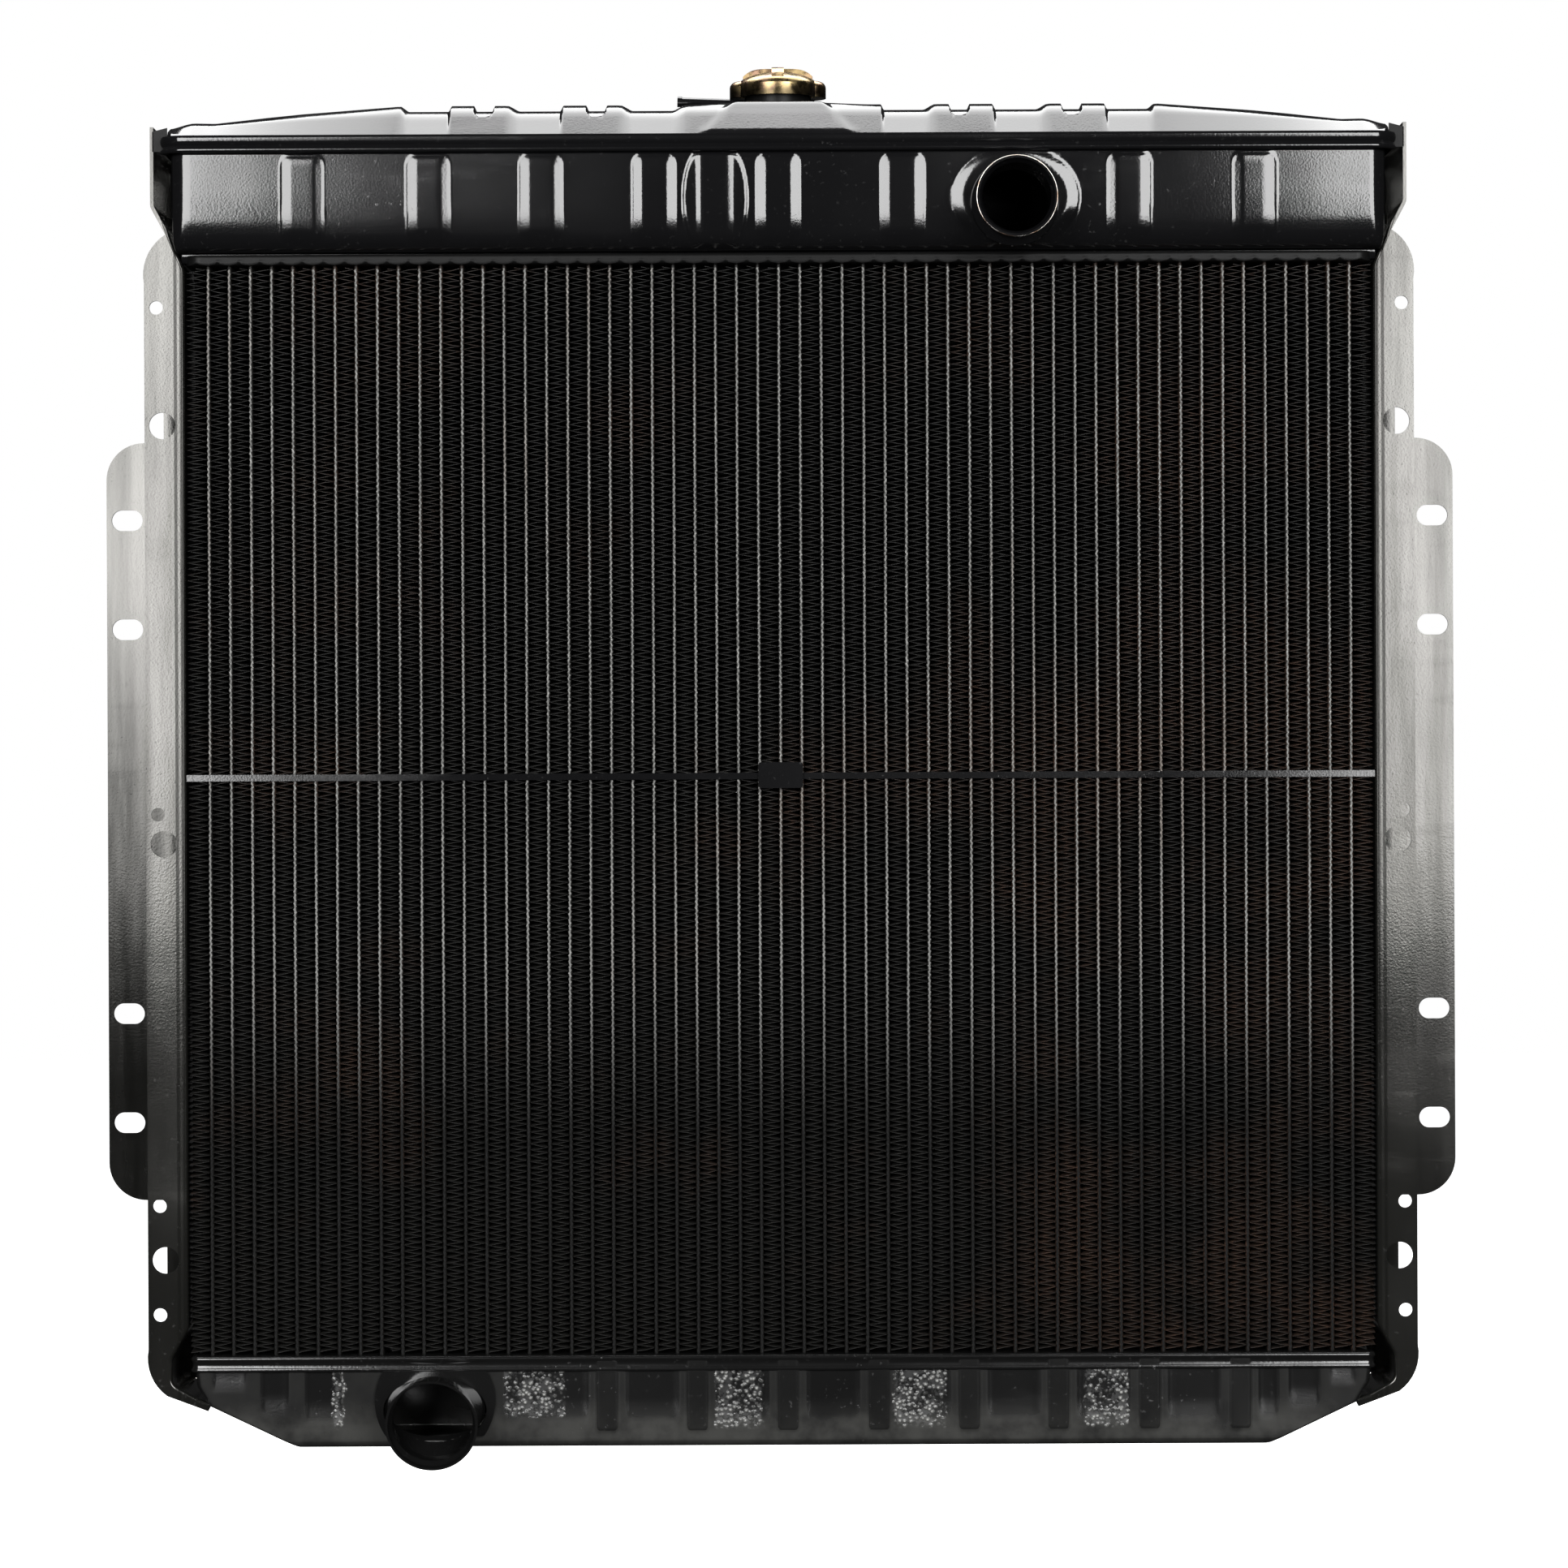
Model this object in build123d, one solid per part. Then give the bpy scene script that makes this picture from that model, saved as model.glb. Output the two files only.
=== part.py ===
from build123d import *
import os
from math import cos, radians, sin

# Downflow car radiator: pressed top and bottom tanks soldered to a three-row tube-and-fin core that is held
# between two folded side members.
# Frame, in millimetres: +X to the right seen from the engine side, +Y away from the engine, +Z up.
# Origin: centre of the mounting slot pattern, on the face that bolts to the support.

# ------------------------------------------------------------------ driving dimensions
SHEET = 1.8                 # side member sheet
BEND_R = 1.7                # outside of the side member's engine-side fold
FLANGE_SHEET = 2.0          # mounting flange plate
TANK_WALL = 1.2
CORE_Y = -30.0              # mid-plane of the core
CORE_DEPTH = 52.0
MEMBER_FRONT = -58.0        # engine-side face of the side members
MEMBER_REAR = -FLANGE_SHEET

TUBE_PITCH = 11.11          # 7/16 inch between tube columns
TUBE_COUNT = 55
TUBE_THICK = 2.0
TUBE_WIDTH = 14.5
TUBE_WALL = 0.2
ROW_PITCH = 17.5
TUBE_TOP = 297.0
TUBE_BOTTOM = -285.0
FIN_TOP = 291.5
FIN_BOTTOM = -279.6
FIN_END_X = 311.2           # outer face of the first and last fin strip

HEADER_T = 1.5
HEADER_TOP_Z = 292.0        # underside of the top tube plate
HEADER_LOW_Z = -280.0       # upper side of the bottom tube plate
SEAM_LOW_Z = -288.0         # lower edge of the bottom seam band

TANK_HALF_X = 318.3
TANK_HALF_Y = 40.0
TANK_LOW_Z = 298.0
TANK_LOW_R = 10.0
LIP_LOW_Z = 350.0
LIP_TOP_Z = 358.0
LIP_HALF_X = 324.0
LIP_HALF_Y = 43.5
VALLEY_Z = 372.3            # ridge height between the raised pads of the cover
PAD_RISE = 3.0
RIDGE_HALF_Y = 22.0
END_RIDGE_Z = 366.5
PAD_RANGES = [(-56.0, 56.0), (76.0, 114.7), (135.5, 173.5)]
SHOULDER_X = 195.0          # the ridge falls towards the ends from here
POCKET_X = [95.4, 154.5]
POCKET_WIDTH = 10.5
BOSS_TOP_Z = 378.0
RIB_X = [-249.0, -183.0, -124.0, -65.0, 0.0, 65.0, 183.5, 249.0]
RIB_WIDTH = 21.0
RIB_LOW_Z, RIB_TOP_Z = 302.0, 349.0
RIB_RISE = 2.6
LENS_X = -33.0

PAN_HALF_X = 311.0
PAN_HALF_Y = 33.5
BOTTOM_Z = -327.0
LOW_RIB_PITCH = 47.6
LOW_RIB_WIDTH = 11.5
LOW_RIB_STEPS = [-5, -3, -2, -1, 0, 1, 2, 3, 4, 5]
LOW_RIB_RISE = 1.6

INLET_X, INLET_Z = 123.4, 321.8
INLET_R = 19.05             # 1-1/2 inch hose
INLET_LIP_R = 20.8
OUTLET_X, OUTLET_Z = -182.6, -308.0
OUTLET_R = 22.2             # 1-3/4 inch hose
OUTLET_LIP_R = 24.0
OUTLET_TILT = 10.0          # degrees, mouth turned down
NECK_LENGTH = 31.0
NECK_WALL = 1.2

CAP_Y = -20.0
CAP_R = 21.5
EAR_R = 25.6
CAP_LOW_Z = 383.7
CAP_TOP_Z = 397.0
CROSS_TOP_Z = 399.2
NECK_TOP_Z = 387.0          # sealing rim of the filler neck
SEAT_Z = 375.0              # lower seat that the pressure valve closes on
NIPPLE_R = 2.3
NIPPLE_ROOT = 14.0          # where the overflow nipple's line starts, left of the cap's axis
NIPPLE_ROOT_Z = 380.95
NIPPLE_END = 53.5
NIPPLE_RISE = 2.0           # degrees

SLOT_X = 350.0
SLOT_OUTER_Z = 161.5
SLOT_INNER_Z = 103.0
SLOT_LENGTH, SLOT_WIDTH = 16.6, 11.1
FLANGE_HALF_X = 361.0
FLANGE_HALF_Z = 203.0
FLANGE_CORNER_R = 20.0

SHROUD_X = 327.0
SHROUD_Z = [270.2, 4.0, -201.6, -258.8]
SHROUD_R = 3.6
WINDOW_X = 324.0
WINDOW_Z = [208.2, -11.5, -230.1]
WINDOW_R = 7.0

DRAIN_X, DRAIN_Z = 214.0, -308.0
DRAIN_FACE_Y = CORE_Y + 32.0


# ------------------------------------------------------------------ helpers
def block(x, y, z):
    """A box from three (low, high) pairs."""
    size = (x[1] - x[0], y[1] - y[0], z[1] - z[0])
    middle = ((x[0] + x[1]) / 2, (y[0] + y[1]) / 2, (z[0] + z[1]) / 2)
    return Pos(*middle) * Box(*size)


def rounded_slab(half_x, half_y, low_z, high_z, corner):
    """A plate or block with rounded upright corners, centred on the core's mid-plane."""
    outline = RectangleRounded(2 * half_x, 2 * half_y, corner)
    return Pos(0, CORE_Y, low_z) * extrude(outline, amount=high_z - low_z)


def front_prism(face, low_y, high_y):
    """A face drawn in X and Z, extruded from low_y to high_y."""
    plane = Plane(origin=(0, high_y, 0), x_dir=(1, 0, 0), z_dir=(0, -1, 0))
    return extrude(plane * face, amount=high_y - low_y)


def round_bar(x, z, r, low_y, high_y):
    """A cylinder along Y."""
    return front_prism(Pos(x, z) * Circle(r), low_y, high_y)


def spun(profile, x, y):
    """A solid of revolution about the upright axis at x, y, from (radius, z) points."""
    face = Plane.XZ * make_face(Polyline(*profile, close=True))
    return Pos(x, y, 0) * revolve(face, Axis.Z)


def disc(r_in, r_out, low_z, high_z, x=0.0, y=CAP_Y):
    """A washer about an upright axis, or a full disc when r_in is 0."""
    ring = Circle(r_out) if r_in == 0 else Circle(r_out) - Circle(r_in)
    return Pos(x, y, low_z) * extrude(ring, amount=high_z - low_z)


def mirrored(shape):
    return mirror(shape, Plane.YZ)


# ------------------------------------------------------------------ core
def tube_columns():
    middle = (TUBE_COUNT - 1) / 2
    return [(i - middle) * TUBE_PITCH for i in range(TUBE_COUNT)]


def tube_outline(grow=0.0):
    return Rot(0, 0, 90) * SlotOverall(TUBE_WIDTH + 2 * grow, TUBE_THICK + 2 * grow)


def tube_row(row):
    """One row of flattened tubes; row is -1, 0 or 1 from the engine side."""
    section = tube_outline() - tube_outline(-TUBE_WALL)
    tube = extrude(section, amount=TUBE_TOP - TUBE_BOTTOM)
    y = CORE_Y + row * ROW_PITCH
    return Compound(children=[Pos(x, y, TUBE_BOTTOM) * tube for x in tube_columns()])


def fin_strips():
    """The space of each folded fin strip between two tube columns, as a plain slab."""
    edges = [x + side * TUBE_THICK / 2 for x in tube_columns() for side in (-1, 1)]
    edges = [-FIN_END_X] + edges + [FIN_END_X]
    depth = (CORE_Y - CORE_DEPTH / 2, CORE_Y + CORE_DEPTH / 2)
    height = (FIN_BOTTOM, FIN_TOP)
    return Compound(children=[block((a, b), depth, height) for a, b in zip(edges[::2], edges[1::2])])


def tube_slots(low_z, high_z):
    cutter = extrude(tube_outline(0.05), amount=high_z - low_z)
    rows = [CORE_Y + row * ROW_PITCH for row in (-1, 0, 1)]
    return [Pos(x, y, low_z) * cutter for x in tube_columns() for y in rows]


def top_header():
    """Tube plate with an upturned rim that the top tank's skirt sits in."""
    rim_top = TANK_LOW_Z - 0.5
    pan = rounded_slab(311.6, 30.0, HEADER_TOP_Z, rim_top, 8.0)
    hollow = rounded_slab(310.4, 28.8, HEADER_TOP_Z + HEADER_T, rim_top, 6.8)
    return pan - hollow - tube_slots(HEADER_TOP_Z, HEADER_TOP_Z + HEADER_T)


def bottom_header():
    """Tube plate with a turned-down rim, which is the seam band over the bottom tank."""
    pan = rounded_slab(PAN_HALF_X, PAN_HALF_Y, SEAM_LOW_Z, HEADER_LOW_Z, 9.0)
    hollow = rounded_slab(PAN_HALF_X - 1.5, PAN_HALF_Y - 1.5, SEAM_LOW_Z, HEADER_LOW_Z - HEADER_T, 7.5)
    shell = pan - hollow
    top = shell.faces().sort_by(Axis.Z)[-1]
    shell = fillet(top.outer_wire().edges(), 1.2)
    return shell - tube_slots(HEADER_LOW_Z - HEADER_T, HEADER_LOW_Z)


# ------------------------------------------------------------------ top tank
def swell(shrink):
    """The top tank's lower body, shrunk by a wall thickness for its hollow."""
    body = rounded_slab(TANK_HALF_X - shrink, TANK_HALF_Y - shrink, TANK_LOW_Z + shrink,
                        LIP_LOW_Z + 1.0, 16.0 - shrink)
    low = body.faces().sort_by(Axis.Z)[0]
    body = fillet(low.outer_wire().edges(), TANK_LOW_R - shrink)
    return body + rounded_slab(310.4 - shrink, 28.8 - shrink, HEADER_TOP_Z + HEADER_T,
                               TANK_LOW_Z + 4.0, 6.8 - shrink)


def face_rib(x, shrink):
    """A raised upright rib on both long faces."""
    half = RIB_WIDTH / 2 - shrink
    reach = TANK_HALF_Y + RIB_RISE - shrink
    return block((x - half, x + half), (CORE_Y - reach, CORE_Y + reach), (RIB_LOW_Z + shrink, RIB_TOP_Z))


def pillow(x, z, half_x, half_z, flat_half_x, rise, shrink):
    """An oval boss with a flat middle strip and two flanks that fall away sideways."""
    y = CORE_Y - TANK_HALF_Y + shrink
    outline = front_prism(Pos(x, z) * Ellipse(half_x, half_z), y - rise - 1, y + 4)
    section = Polyline((x - half_x, y + 3.9), (x - half_x, y), (x - flat_half_x, y - rise),
                       (x + flat_half_x, y - rise), (x + half_x, y), (x + half_x, y + 3.9), close=True)
    ridge = Pos(0, 0, z - half_z) * extrude(make_face(section), amount=2 * half_z)
    return ridge & outline


def top_tank_body():
    outer = swell(0.0)
    hollow = swell(TANK_WALL)
    for x in RIB_X:
        outer += face_rib(x, 0.0)
        hollow += face_rib(x, TANK_WALL)
    outer += pillow(LENS_X, 325.0, 17.0, 23.5, 9.0, 3.2, 0.0)
    outer += pillow(INLET_X, 324.0, 33.5, 25.5, 27.0, 2.4, 0.0)
    lip = rounded_slab(LIP_HALF_X - 1.5, LIP_HALF_Y - 1.5, LIP_LOW_Z, LIP_LOW_Z + TANK_WALL, 18.0)
    hollow += rounded_slab(TANK_HALF_X - 3, TANK_HALF_Y - 3, 320.0, LIP_LOW_Z + 3, 13.0)
    port = round_bar(INLET_X, INLET_Z, INLET_R, -90.0, CORE_Y)
    return outer + lip - hollow - port


def roof_section(rise):
    """Upright cross-section of the cover, in Y and Z."""
    half_base = LIP_HALF_Y - 2.0
    foot, ridge = LIP_LOW_Z + 5.0, VALLEY_Z + rise
    points = [(-half_base, foot), (-half_base, LIP_TOP_Z), (-RIDGE_HALF_Y, ridge), (RIDGE_HALF_Y, ridge),
              (half_base, LIP_TOP_Z), (half_base, foot)]
    return make_face(Polyline(*points, close=True))


def roof_run(low_x, high_x, rise):
    """The cover between two stations of its straight middle."""
    plane = Plane(origin=(low_x, CORE_Y, 0), x_dir=(0, 1, 0), z_dir=(1, 0, 0))
    return extrude(plane * roof_section(rise), amount=high_x - low_x)


def roof_end(shrink):
    """One falling end of the cover, on the +X side, or its hollow."""
    stations = [(SHOULDER_X + shrink, VALLEY_Z + PAD_RISE, RIDGE_HALF_Y, 2.0),
                (308.0, END_RIDGE_Z, 27.0, 2.0),
                (LIP_HALF_X - 2.5, LIP_TOP_Z + 1.5, 33.0, 8.0)]
    sections = []
    for x, top, half_y, inset in stations:
        plane = Plane(origin=(x, CORE_Y, 0), x_dir=(0, 1, 0), z_dir=(1, 0, 0))
        half_base = LIP_HALF_Y - inset - 1.3 * shrink
        half_top = half_y - 0.8 * shrink
        points = [(-half_base, LIP_TOP_Z - 2.0 - shrink), (-half_top, top - 1.1 * shrink),
                  (half_top, top - 1.1 * shrink), (half_base, LIP_TOP_Z - 2.0 - shrink)]
        sections.append(plane * make_face(Polyline(*points, close=True)))
    if shrink:
        return loft(sections[:2], ruled=True)
    return loft(sections[:2], ruled=True) + loft(sections[1:], ruled=True)


def boss(shrink):
    """The raised saddle under the filler neck: a steep front block on a wide low one."""
    def frustum(half_low, half_high, low_y, high_y, low_z, high_z):
        base = Pos(0, 0, low_z) * Rectangle(2 * half_low, 2 * low_y)
        crown = Pos(0, 0, high_z) * Rectangle(2 * half_high, 2 * high_y)
        return Pos(0, CORE_Y, 0) * loft([base.face(), crown.face()], ruled=True)

    steep = frustum(39.0 - shrink, 25.0 - shrink, 39.5 - shrink, 26.5 - shrink, 363.0, BOSS_TOP_Z - shrink)
    wide = frustum(56.0 - shrink, 27.0 - shrink, 22.0 - shrink, 20.0 - shrink, 374.5, BOSS_TOP_Z - shrink)
    return steep + wide


def pocket(x):
    """A U-shaped notch that drops a pad back to valley level along its ridge."""
    length = 2 * (RIDGE_HALF_Y + 9.0)
    outline = Rot(0, 0, 90) * SlotOverall(length, POCKET_WIDTH)
    slot = Pos(x, CORE_Y, VALLEY_Z - 9.0) * extrude(outline, amount=20)
    return slot - roof_run(x - 8, x + 8, 0.05)


def top_tank_cover():
    """Upper pressing: seam band, sloped roof with raised pads and pockets, and the filler saddle."""
    roof = roof_run(-SHOULDER_X, SHOULDER_X, 0.0)
    pads = PAD_RANGES + [(-b, -a) for a, b in PAD_RANGES[1:]]
    for low, high in pads:
        roof += roof_run(low, high, PAD_RISE)
    for x in POCKET_X:
        roof -= pocket(x)
        roof -= pocket(-x)
    end = roof_end(0.0)
    roof = roof + end + mirrored(end) + boss(0.0)
    roof += rounded_slab(LIP_HALF_X, LIP_HALF_Y, LIP_LOW_Z, LIP_TOP_Z, 19.5)
    inner_end = roof_end(TANK_WALL)
    inner_run = Pos(0, 0, -TANK_WALL) * roof_run(-SHOULDER_X - 4, SHOULDER_X + 4, 0.0)
    mouth = rounded_slab(LIP_HALF_X - 3.5, LIP_HALF_Y - 3.5, LIP_LOW_Z - 1, LIP_TOP_Z - 1.5, 16.0)
    groove = rounded_slab(LIP_HALF_X - 1.5, LIP_HALF_Y - 1.5, LIP_LOW_Z - 1, LIP_LOW_Z + TANK_WALL, 18.0)
    filler = disc(0, 17.0, 360.0, 390.0)
    for space in (inner_run, inner_end, mirrored(inner_end), mouth, groove, filler, boss(TANK_WALL)):
        roof -= space
    return roof


# ------------------------------------------------------------------ bottom tank
def sump(shrink):
    """The bottom tank's outer form or its hollow: slanted ends, front and back drawn in a little."""
    x_top = PAN_HALF_X - 1.5 - shrink
    rim_z = HEADER_LOW_Z - HEADER_T
    outline = Polyline((-x_top, rim_z), (-x_top, -291.0), (-299.0 + shrink, -305.5),
                       (-256.5 + shrink, BOTTOM_Z + shrink), (256.5 - shrink, BOTTOM_Z + shrink),
                       (299.0 - shrink, -305.5), (x_top, -291.0), (x_top, rim_z), close=True)
    half = PAN_HALF_Y - 1.5 - shrink
    tank = front_prism(make_face(outline), CORE_Y - half, CORE_Y + half)
    tank &= rounded_slab(x_top, half, BOTTOM_Z - 1.0, HEADER_LOW_Z, 7.5 - shrink)
    foot = tank.faces().filter_by(Axis.Z).sort_by(Axis.Z)[0]
    long_edges = foot.edges().filter_by(Axis.X)
    return fillet(long_edges, 5.0 - shrink)


def sump_rib(x, shrink):
    half = LOW_RIB_WIDTH / 2 - shrink
    reach = PAN_HALF_Y - 1.5 + LOW_RIB_RISE - shrink
    return block((x - half, x + half), (CORE_Y - reach, CORE_Y + reach), (-320.0, SEAM_LOW_Z))


def bottom_tank():
    outer = sump(0.0)
    for step in LOW_RIB_STEPS:
        outer += sump_rib(step * LOW_RIB_PITCH, 0.0)
    hollow = sump(TANK_WALL)
    drain = round_bar(DRAIN_X, DRAIN_Z, 5.0, CORE_Y, 20.0)
    return outer - hollow - outlet_cut() - outlet_pieces(0.05) - drain


# ------------------------------------------------------------------ hose necks
def inlet_neck():
    """Straight hose neck with a flared mouth, its root through the tank's front face."""
    root = CORE_Y - TANK_HALF_Y - 2.4 + 6.0
    mouth = root - 6.0 - NECK_LENGTH
    profile = Polyline((INLET_R, root), (INLET_R, mouth + 6.0), (INLET_LIP_R, mouth + 3.0),
                       (INLET_LIP_R, mouth), (INLET_LIP_R - NECK_WALL, mouth),
                       (INLET_LIP_R - NECK_WALL, mouth + 2.6), (INLET_R - NECK_WALL, mouth + 5.6),
                       (INLET_R - NECK_WALL, root), close=True)
    tube = revolve(make_face(profile), Axis.Y)
    return Pos(INLET_X, 0, INLET_Z) * tube


def inlet_collar():
    """Solder fillet ring round the inlet's root."""
    face = CORE_Y - TANK_HALF_Y - 2.4
    profile = Polyline((INLET_R, face), (23.0, face), (22.6, face - 1.4), (INLET_R, face - 3.6), close=True)
    return Pos(INLET_X, 0, INLET_Z) * revolve(make_face(profile), Axis.Y)


def outlet_frame():
    """Plane at the outlet's root, looking out along the neck."""
    outward = (0, -cos(radians(OUTLET_TILT)), -sin(radians(OUTLET_TILT)))
    return Plane(origin=(OUTLET_X, CORE_Y - PAN_HALF_Y + 3.0, OUTLET_Z), x_dir=(1, 0, 0), z_dir=outward)


def outlet_pieces(grow, past=0.0):
    """The outlet neck's forms from root to mouth: oval root opening into a round neck, then the lip.

    past carries the root and the mouth beyond the neck's own ends, for cutting.
    """
    frame = outlet_frame()
    oval = frame * Ellipse(27.0 + grow, 16.6 + grow)
    ring = frame.offset(16.0) * Circle(OUTLET_R + grow)
    lip = frame.offset(NECK_LENGTH - 4.0) * Circle(OUTLET_LIP_R + grow)
    return [
        loft([oval.face(), ring.face()]),
        extrude(ring, amount=NECK_LENGTH - 16.0 - 4.0),
        loft([(frame.offset(NECK_LENGTH - 7.0) * Circle(OUTLET_R + grow)).face(), lip.face()]),
        extrude(lip, amount=4.0 + past),
    ]


def outlet_cut():
    return extrude(outlet_frame().offset(-6.0) * Ellipse(27.05, 16.65), amount=12.0)


def outlet_neck():
    neck = Part() + outlet_pieces(0.0)
    for bore in outlet_pieces(-NECK_WALL, past=2.0):
        neck -= bore
    return neck


def outlet_collar():
    """Saddle ring on the tank face round the outlet's root."""
    face = CORE_Y - PAN_HALF_Y + 1.5
    ring = round_bar(OUTLET_X, -304.0, 31.5, face - 2.2, face)
    ring &= block((-240, -120), (face - 3, face + 1), (BOTTOM_Z + 5.0, SEAM_LOW_Z - 0.3))
    return ring - outlet_pieces(0.05) - outlet_cut()


# ------------------------------------------------------------------ filler neck and cap
def filler_neck():
    """Cam flange with two release notches, upper bore, lower seat and the nipple's port."""
    neck = spun([(16.2, SEAT_Z), (16.2, NECK_TOP_Z), (20.2, NECK_TOP_Z), (20.2, NECK_TOP_Z - 1.6),
                 (17.0, NECK_TOP_Z - 1.6), (17.0, 371.0), (12.0, 371.0), (12.0, SEAT_Z)], 0, CAP_Y)
    for side in (-1, 1):
        neck -= block((-4.5, 4.5), (CAP_Y + side * 19.2 - 1.2, CAP_Y + side * 19.2 + 1.2),
                      (NECK_TOP_Z - 2, NECK_TOP_Z + 1))
    return neck - nipple_form(NIPPLE_R)


def nipple_form(r, start=NIPPLE_ROOT, end=NIPPLE_END):
    """A bar on the overflow nipple's line: out to -X from the filler neck, rising a little."""
    rise = radians(NIPPLE_RISE)
    outward = (-cos(rise), 0, sin(rise))
    along = start - NIPPLE_ROOT
    origin = (-NIPPLE_ROOT - along * cos(rise), CAP_Y, NIPPLE_ROOT_Z + along * sin(rise))
    plane = Plane(origin=origin, x_dir=(0, 1, 0), z_dir=outward)
    return extrude(plane * Circle(r), amount=end - start)


def overflow_nipple():
    pipe = nipple_form(NIPPLE_R) + nipple_form(NIPPLE_R + 0.5, NIPPLE_END - 2.5)
    bore = nipple_form(NIPPLE_R - 0.8, NIPPLE_ROOT - 1.0, NIPPLE_END + 1.0)
    return pipe - bore - disc(0, 16.2, 370.0, 390.0)


def cap_shell():
    """Domed cap with an embossed cross, two finger ears and two locking tabs."""
    def dome(grow, top, low):
        r = CAP_R + grow
        return Pos(0, CAP_Y, 0) * revolve(Plane.XZ * make_face([
            Line((0, low), (r, low)), Line((r, low), (r, 390.0)),
            Spline([(r, 390.0), (r * 0.78, top - 2.4), (0, top)], tangents=[(-0.25, 1), (-1, 0)]),
            Line((0, top), (0, low))]), Axis.Z)

    shell = dome(0.0, CAP_TOP_Z, CAP_LOW_Z)
    arm = 3.2
    cross = block((-18.5, 18.5), (CAP_Y - arm, CAP_Y + arm), (388, 402))
    cross += block((-arm, arm), (CAP_Y - 18.5, CAP_Y + 18.5), (388, 402))
    shell += dome(0.0, CROSS_TOP_Z, CAP_LOW_Z) & cross
    for side in (-1, 1):
        ear = disc(0, 9.0, CAP_LOW_Z, 392.5, side * (EAR_R - 9.0))
        rim = ear.faces().sort_by(Axis.Z)[-1].edges()
        shell += fillet(rim, 3.5)
    shell -= dome(-1.0, CAP_TOP_Z - 1.0, CAP_LOW_Z - 1)
    for side in (-1, 1):
        x = side * 19.2
        shell += block((x - 1.6, x + 1.6), (CAP_Y - 4, CAP_Y + 4), (CAP_LOW_Z, CAP_LOW_Z + 1.0))
    return shell


def cap_rivet():
    return disc(0, 3.0, 388.8, 395.95) + disc(0, 2.0, 385.0, 388.8)


def cap_spring_disc():
    return disc(2.0, 19.6, 388.2, 388.8)


def cap_seal():
    return disc(16.4, 19.4, NECK_TOP_Z + 0.02, 388.2)


def valve_plate():
    return disc(1.8, 14.2, 376.2, 377.2)


def valve_seal():
    return disc(12.2, 14.6, SEAT_Z + 0.02, 376.2)


def coil(r, wire, low, high, turns):
    """A closed-end compression spring as a round-wire helix between two heights."""
    pitch = (high - low - wire * 1.1) / turns
    path = Helix(pitch, pitch * turns, r)
    start = Plane(origin=path @ 0, z_dir=path % 0)
    wire_solid = sweep(start * Circle(wire / 2), path=path)
    return Pos(0, CAP_Y, low + wire * 0.55) * wire_solid


def pressure_spring():
    return coil(8.0, 1.3, 377.2, 388.2, 4)


def vacuum_valve():
    """Small valve hung below the pressure valve, its stem up through the plate."""
    return disc(0, 6.5, 374.9, 376.15) + disc(0, 1.4, 376.15, 380.2) + disc(0, 2.8, 380.2, 380.9)


def vacuum_spring():
    return coil(2.2, 0.4, 377.2, 380.2, 4)


# ------------------------------------------------------------------ side members and flanges
def web_path():
    """Centre line of the right side member's web, top end to hooked foot, in X and Z."""
    x = 312.2 + SHEET / 2
    corners = [(329.0, 365.0), (329.0, 323.4), (321.0, 308.5), (x, 290.0), (x, -266.0), (321.7, -281.6),
               (321.7, -296.0), (308.0, -303.6), (300.0, -306.2)]
    return FilletPolyline(*corners, radius=6.0)


def member_flange_outline(width_x, top_z, low_z):
    """A plain narrow flange from the web's centre line outwards."""
    x = 312.2 + SHEET / 2
    middle = ((x + width_x) / 2, (top_z + low_z) / 2)
    return Pos(*middle) * RectangleRounded(width_x - x, top_z - low_z, 6.0)


def engine_flange():
    """The engine-side flange: rounded top, straight run, and a tapering curl round the foot."""
    x = 312.2 + SHEET / 2
    outline = Curve() + [
        ThreePointArc((320.2, 309.6), (329.4, 301.4), (333.3, 283.0)),
        Line((333.3, 283.0), (333.3, -277.0)),
        ThreePointArc((333.3, -277.0), (331.6, -291.5), (323.5, -301.4)),
        Line((323.5, -301.4), (302.0, -309.4)),
        Line((302.0, -309.4), (300.4, -306.2)),
        Line((300.4, -306.2), (308.0, -303.6)),
        Line((308.0, -303.6), (321.7, -296.0)),
        Line((321.7, -296.0), (321.7, -281.6)),
        Line((321.7, -281.6), (x, -266.0)),
        Line((x, -266.0), (x, 290.0)),
        Line((x, 290.0), (320.2, 309.6)),
    ]
    return make_face(outline)


def side_member():
    """Right side member: web, engine-side flange with its holes, narrow rear flange and tank tab."""
    web = front_prism(trace(web_path(), SHEET), MEMBER_FRONT, MEMBER_REAR)
    front = front_prism(engine_flange(), MEMBER_FRONT, MEMBER_FRONT + SHEET)
    rear = front_prism(member_flange_outline(330.0, 296.0, -300.0), MEMBER_REAR - SHEET, MEMBER_REAR)
    # The tank tab closes the corner beside the tank, as far up as the lip and then outside it.
    tab_outline = make_face(Polyline((318.7, LIP_LOW_Z - 0.5), (318.7, 308.5), (321.0, 308.5), (329.0, 323.4),
                                     (329.0, 362.0), (324.6, 362.0), (324.6, LIP_LOW_Z - 0.5), close=True))
    tab = front_prism(tab_outline, MEMBER_REAR - SHEET, MEMBER_REAR)
    member = web + front + rear + tab
    bend = [e for e in member.edges()
            if abs(e.center().Y - MEMBER_FRONT) < 0.01 and abs(e.center().X - 312.2) < 0.01]
    member = fillet(bend, BEND_R)
    for z in SHROUD_Z:
        member -= round_bar(SHROUD_X, z, SHROUD_R, MEMBER_FRONT - 1, MEMBER_FRONT + 10)
    for z in WINDOW_Z:
        member -= round_bar(WINDOW_X, z, WINDOW_R, MEMBER_FRONT - 1, MEMBER_FRONT + 10)
    return member


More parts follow.
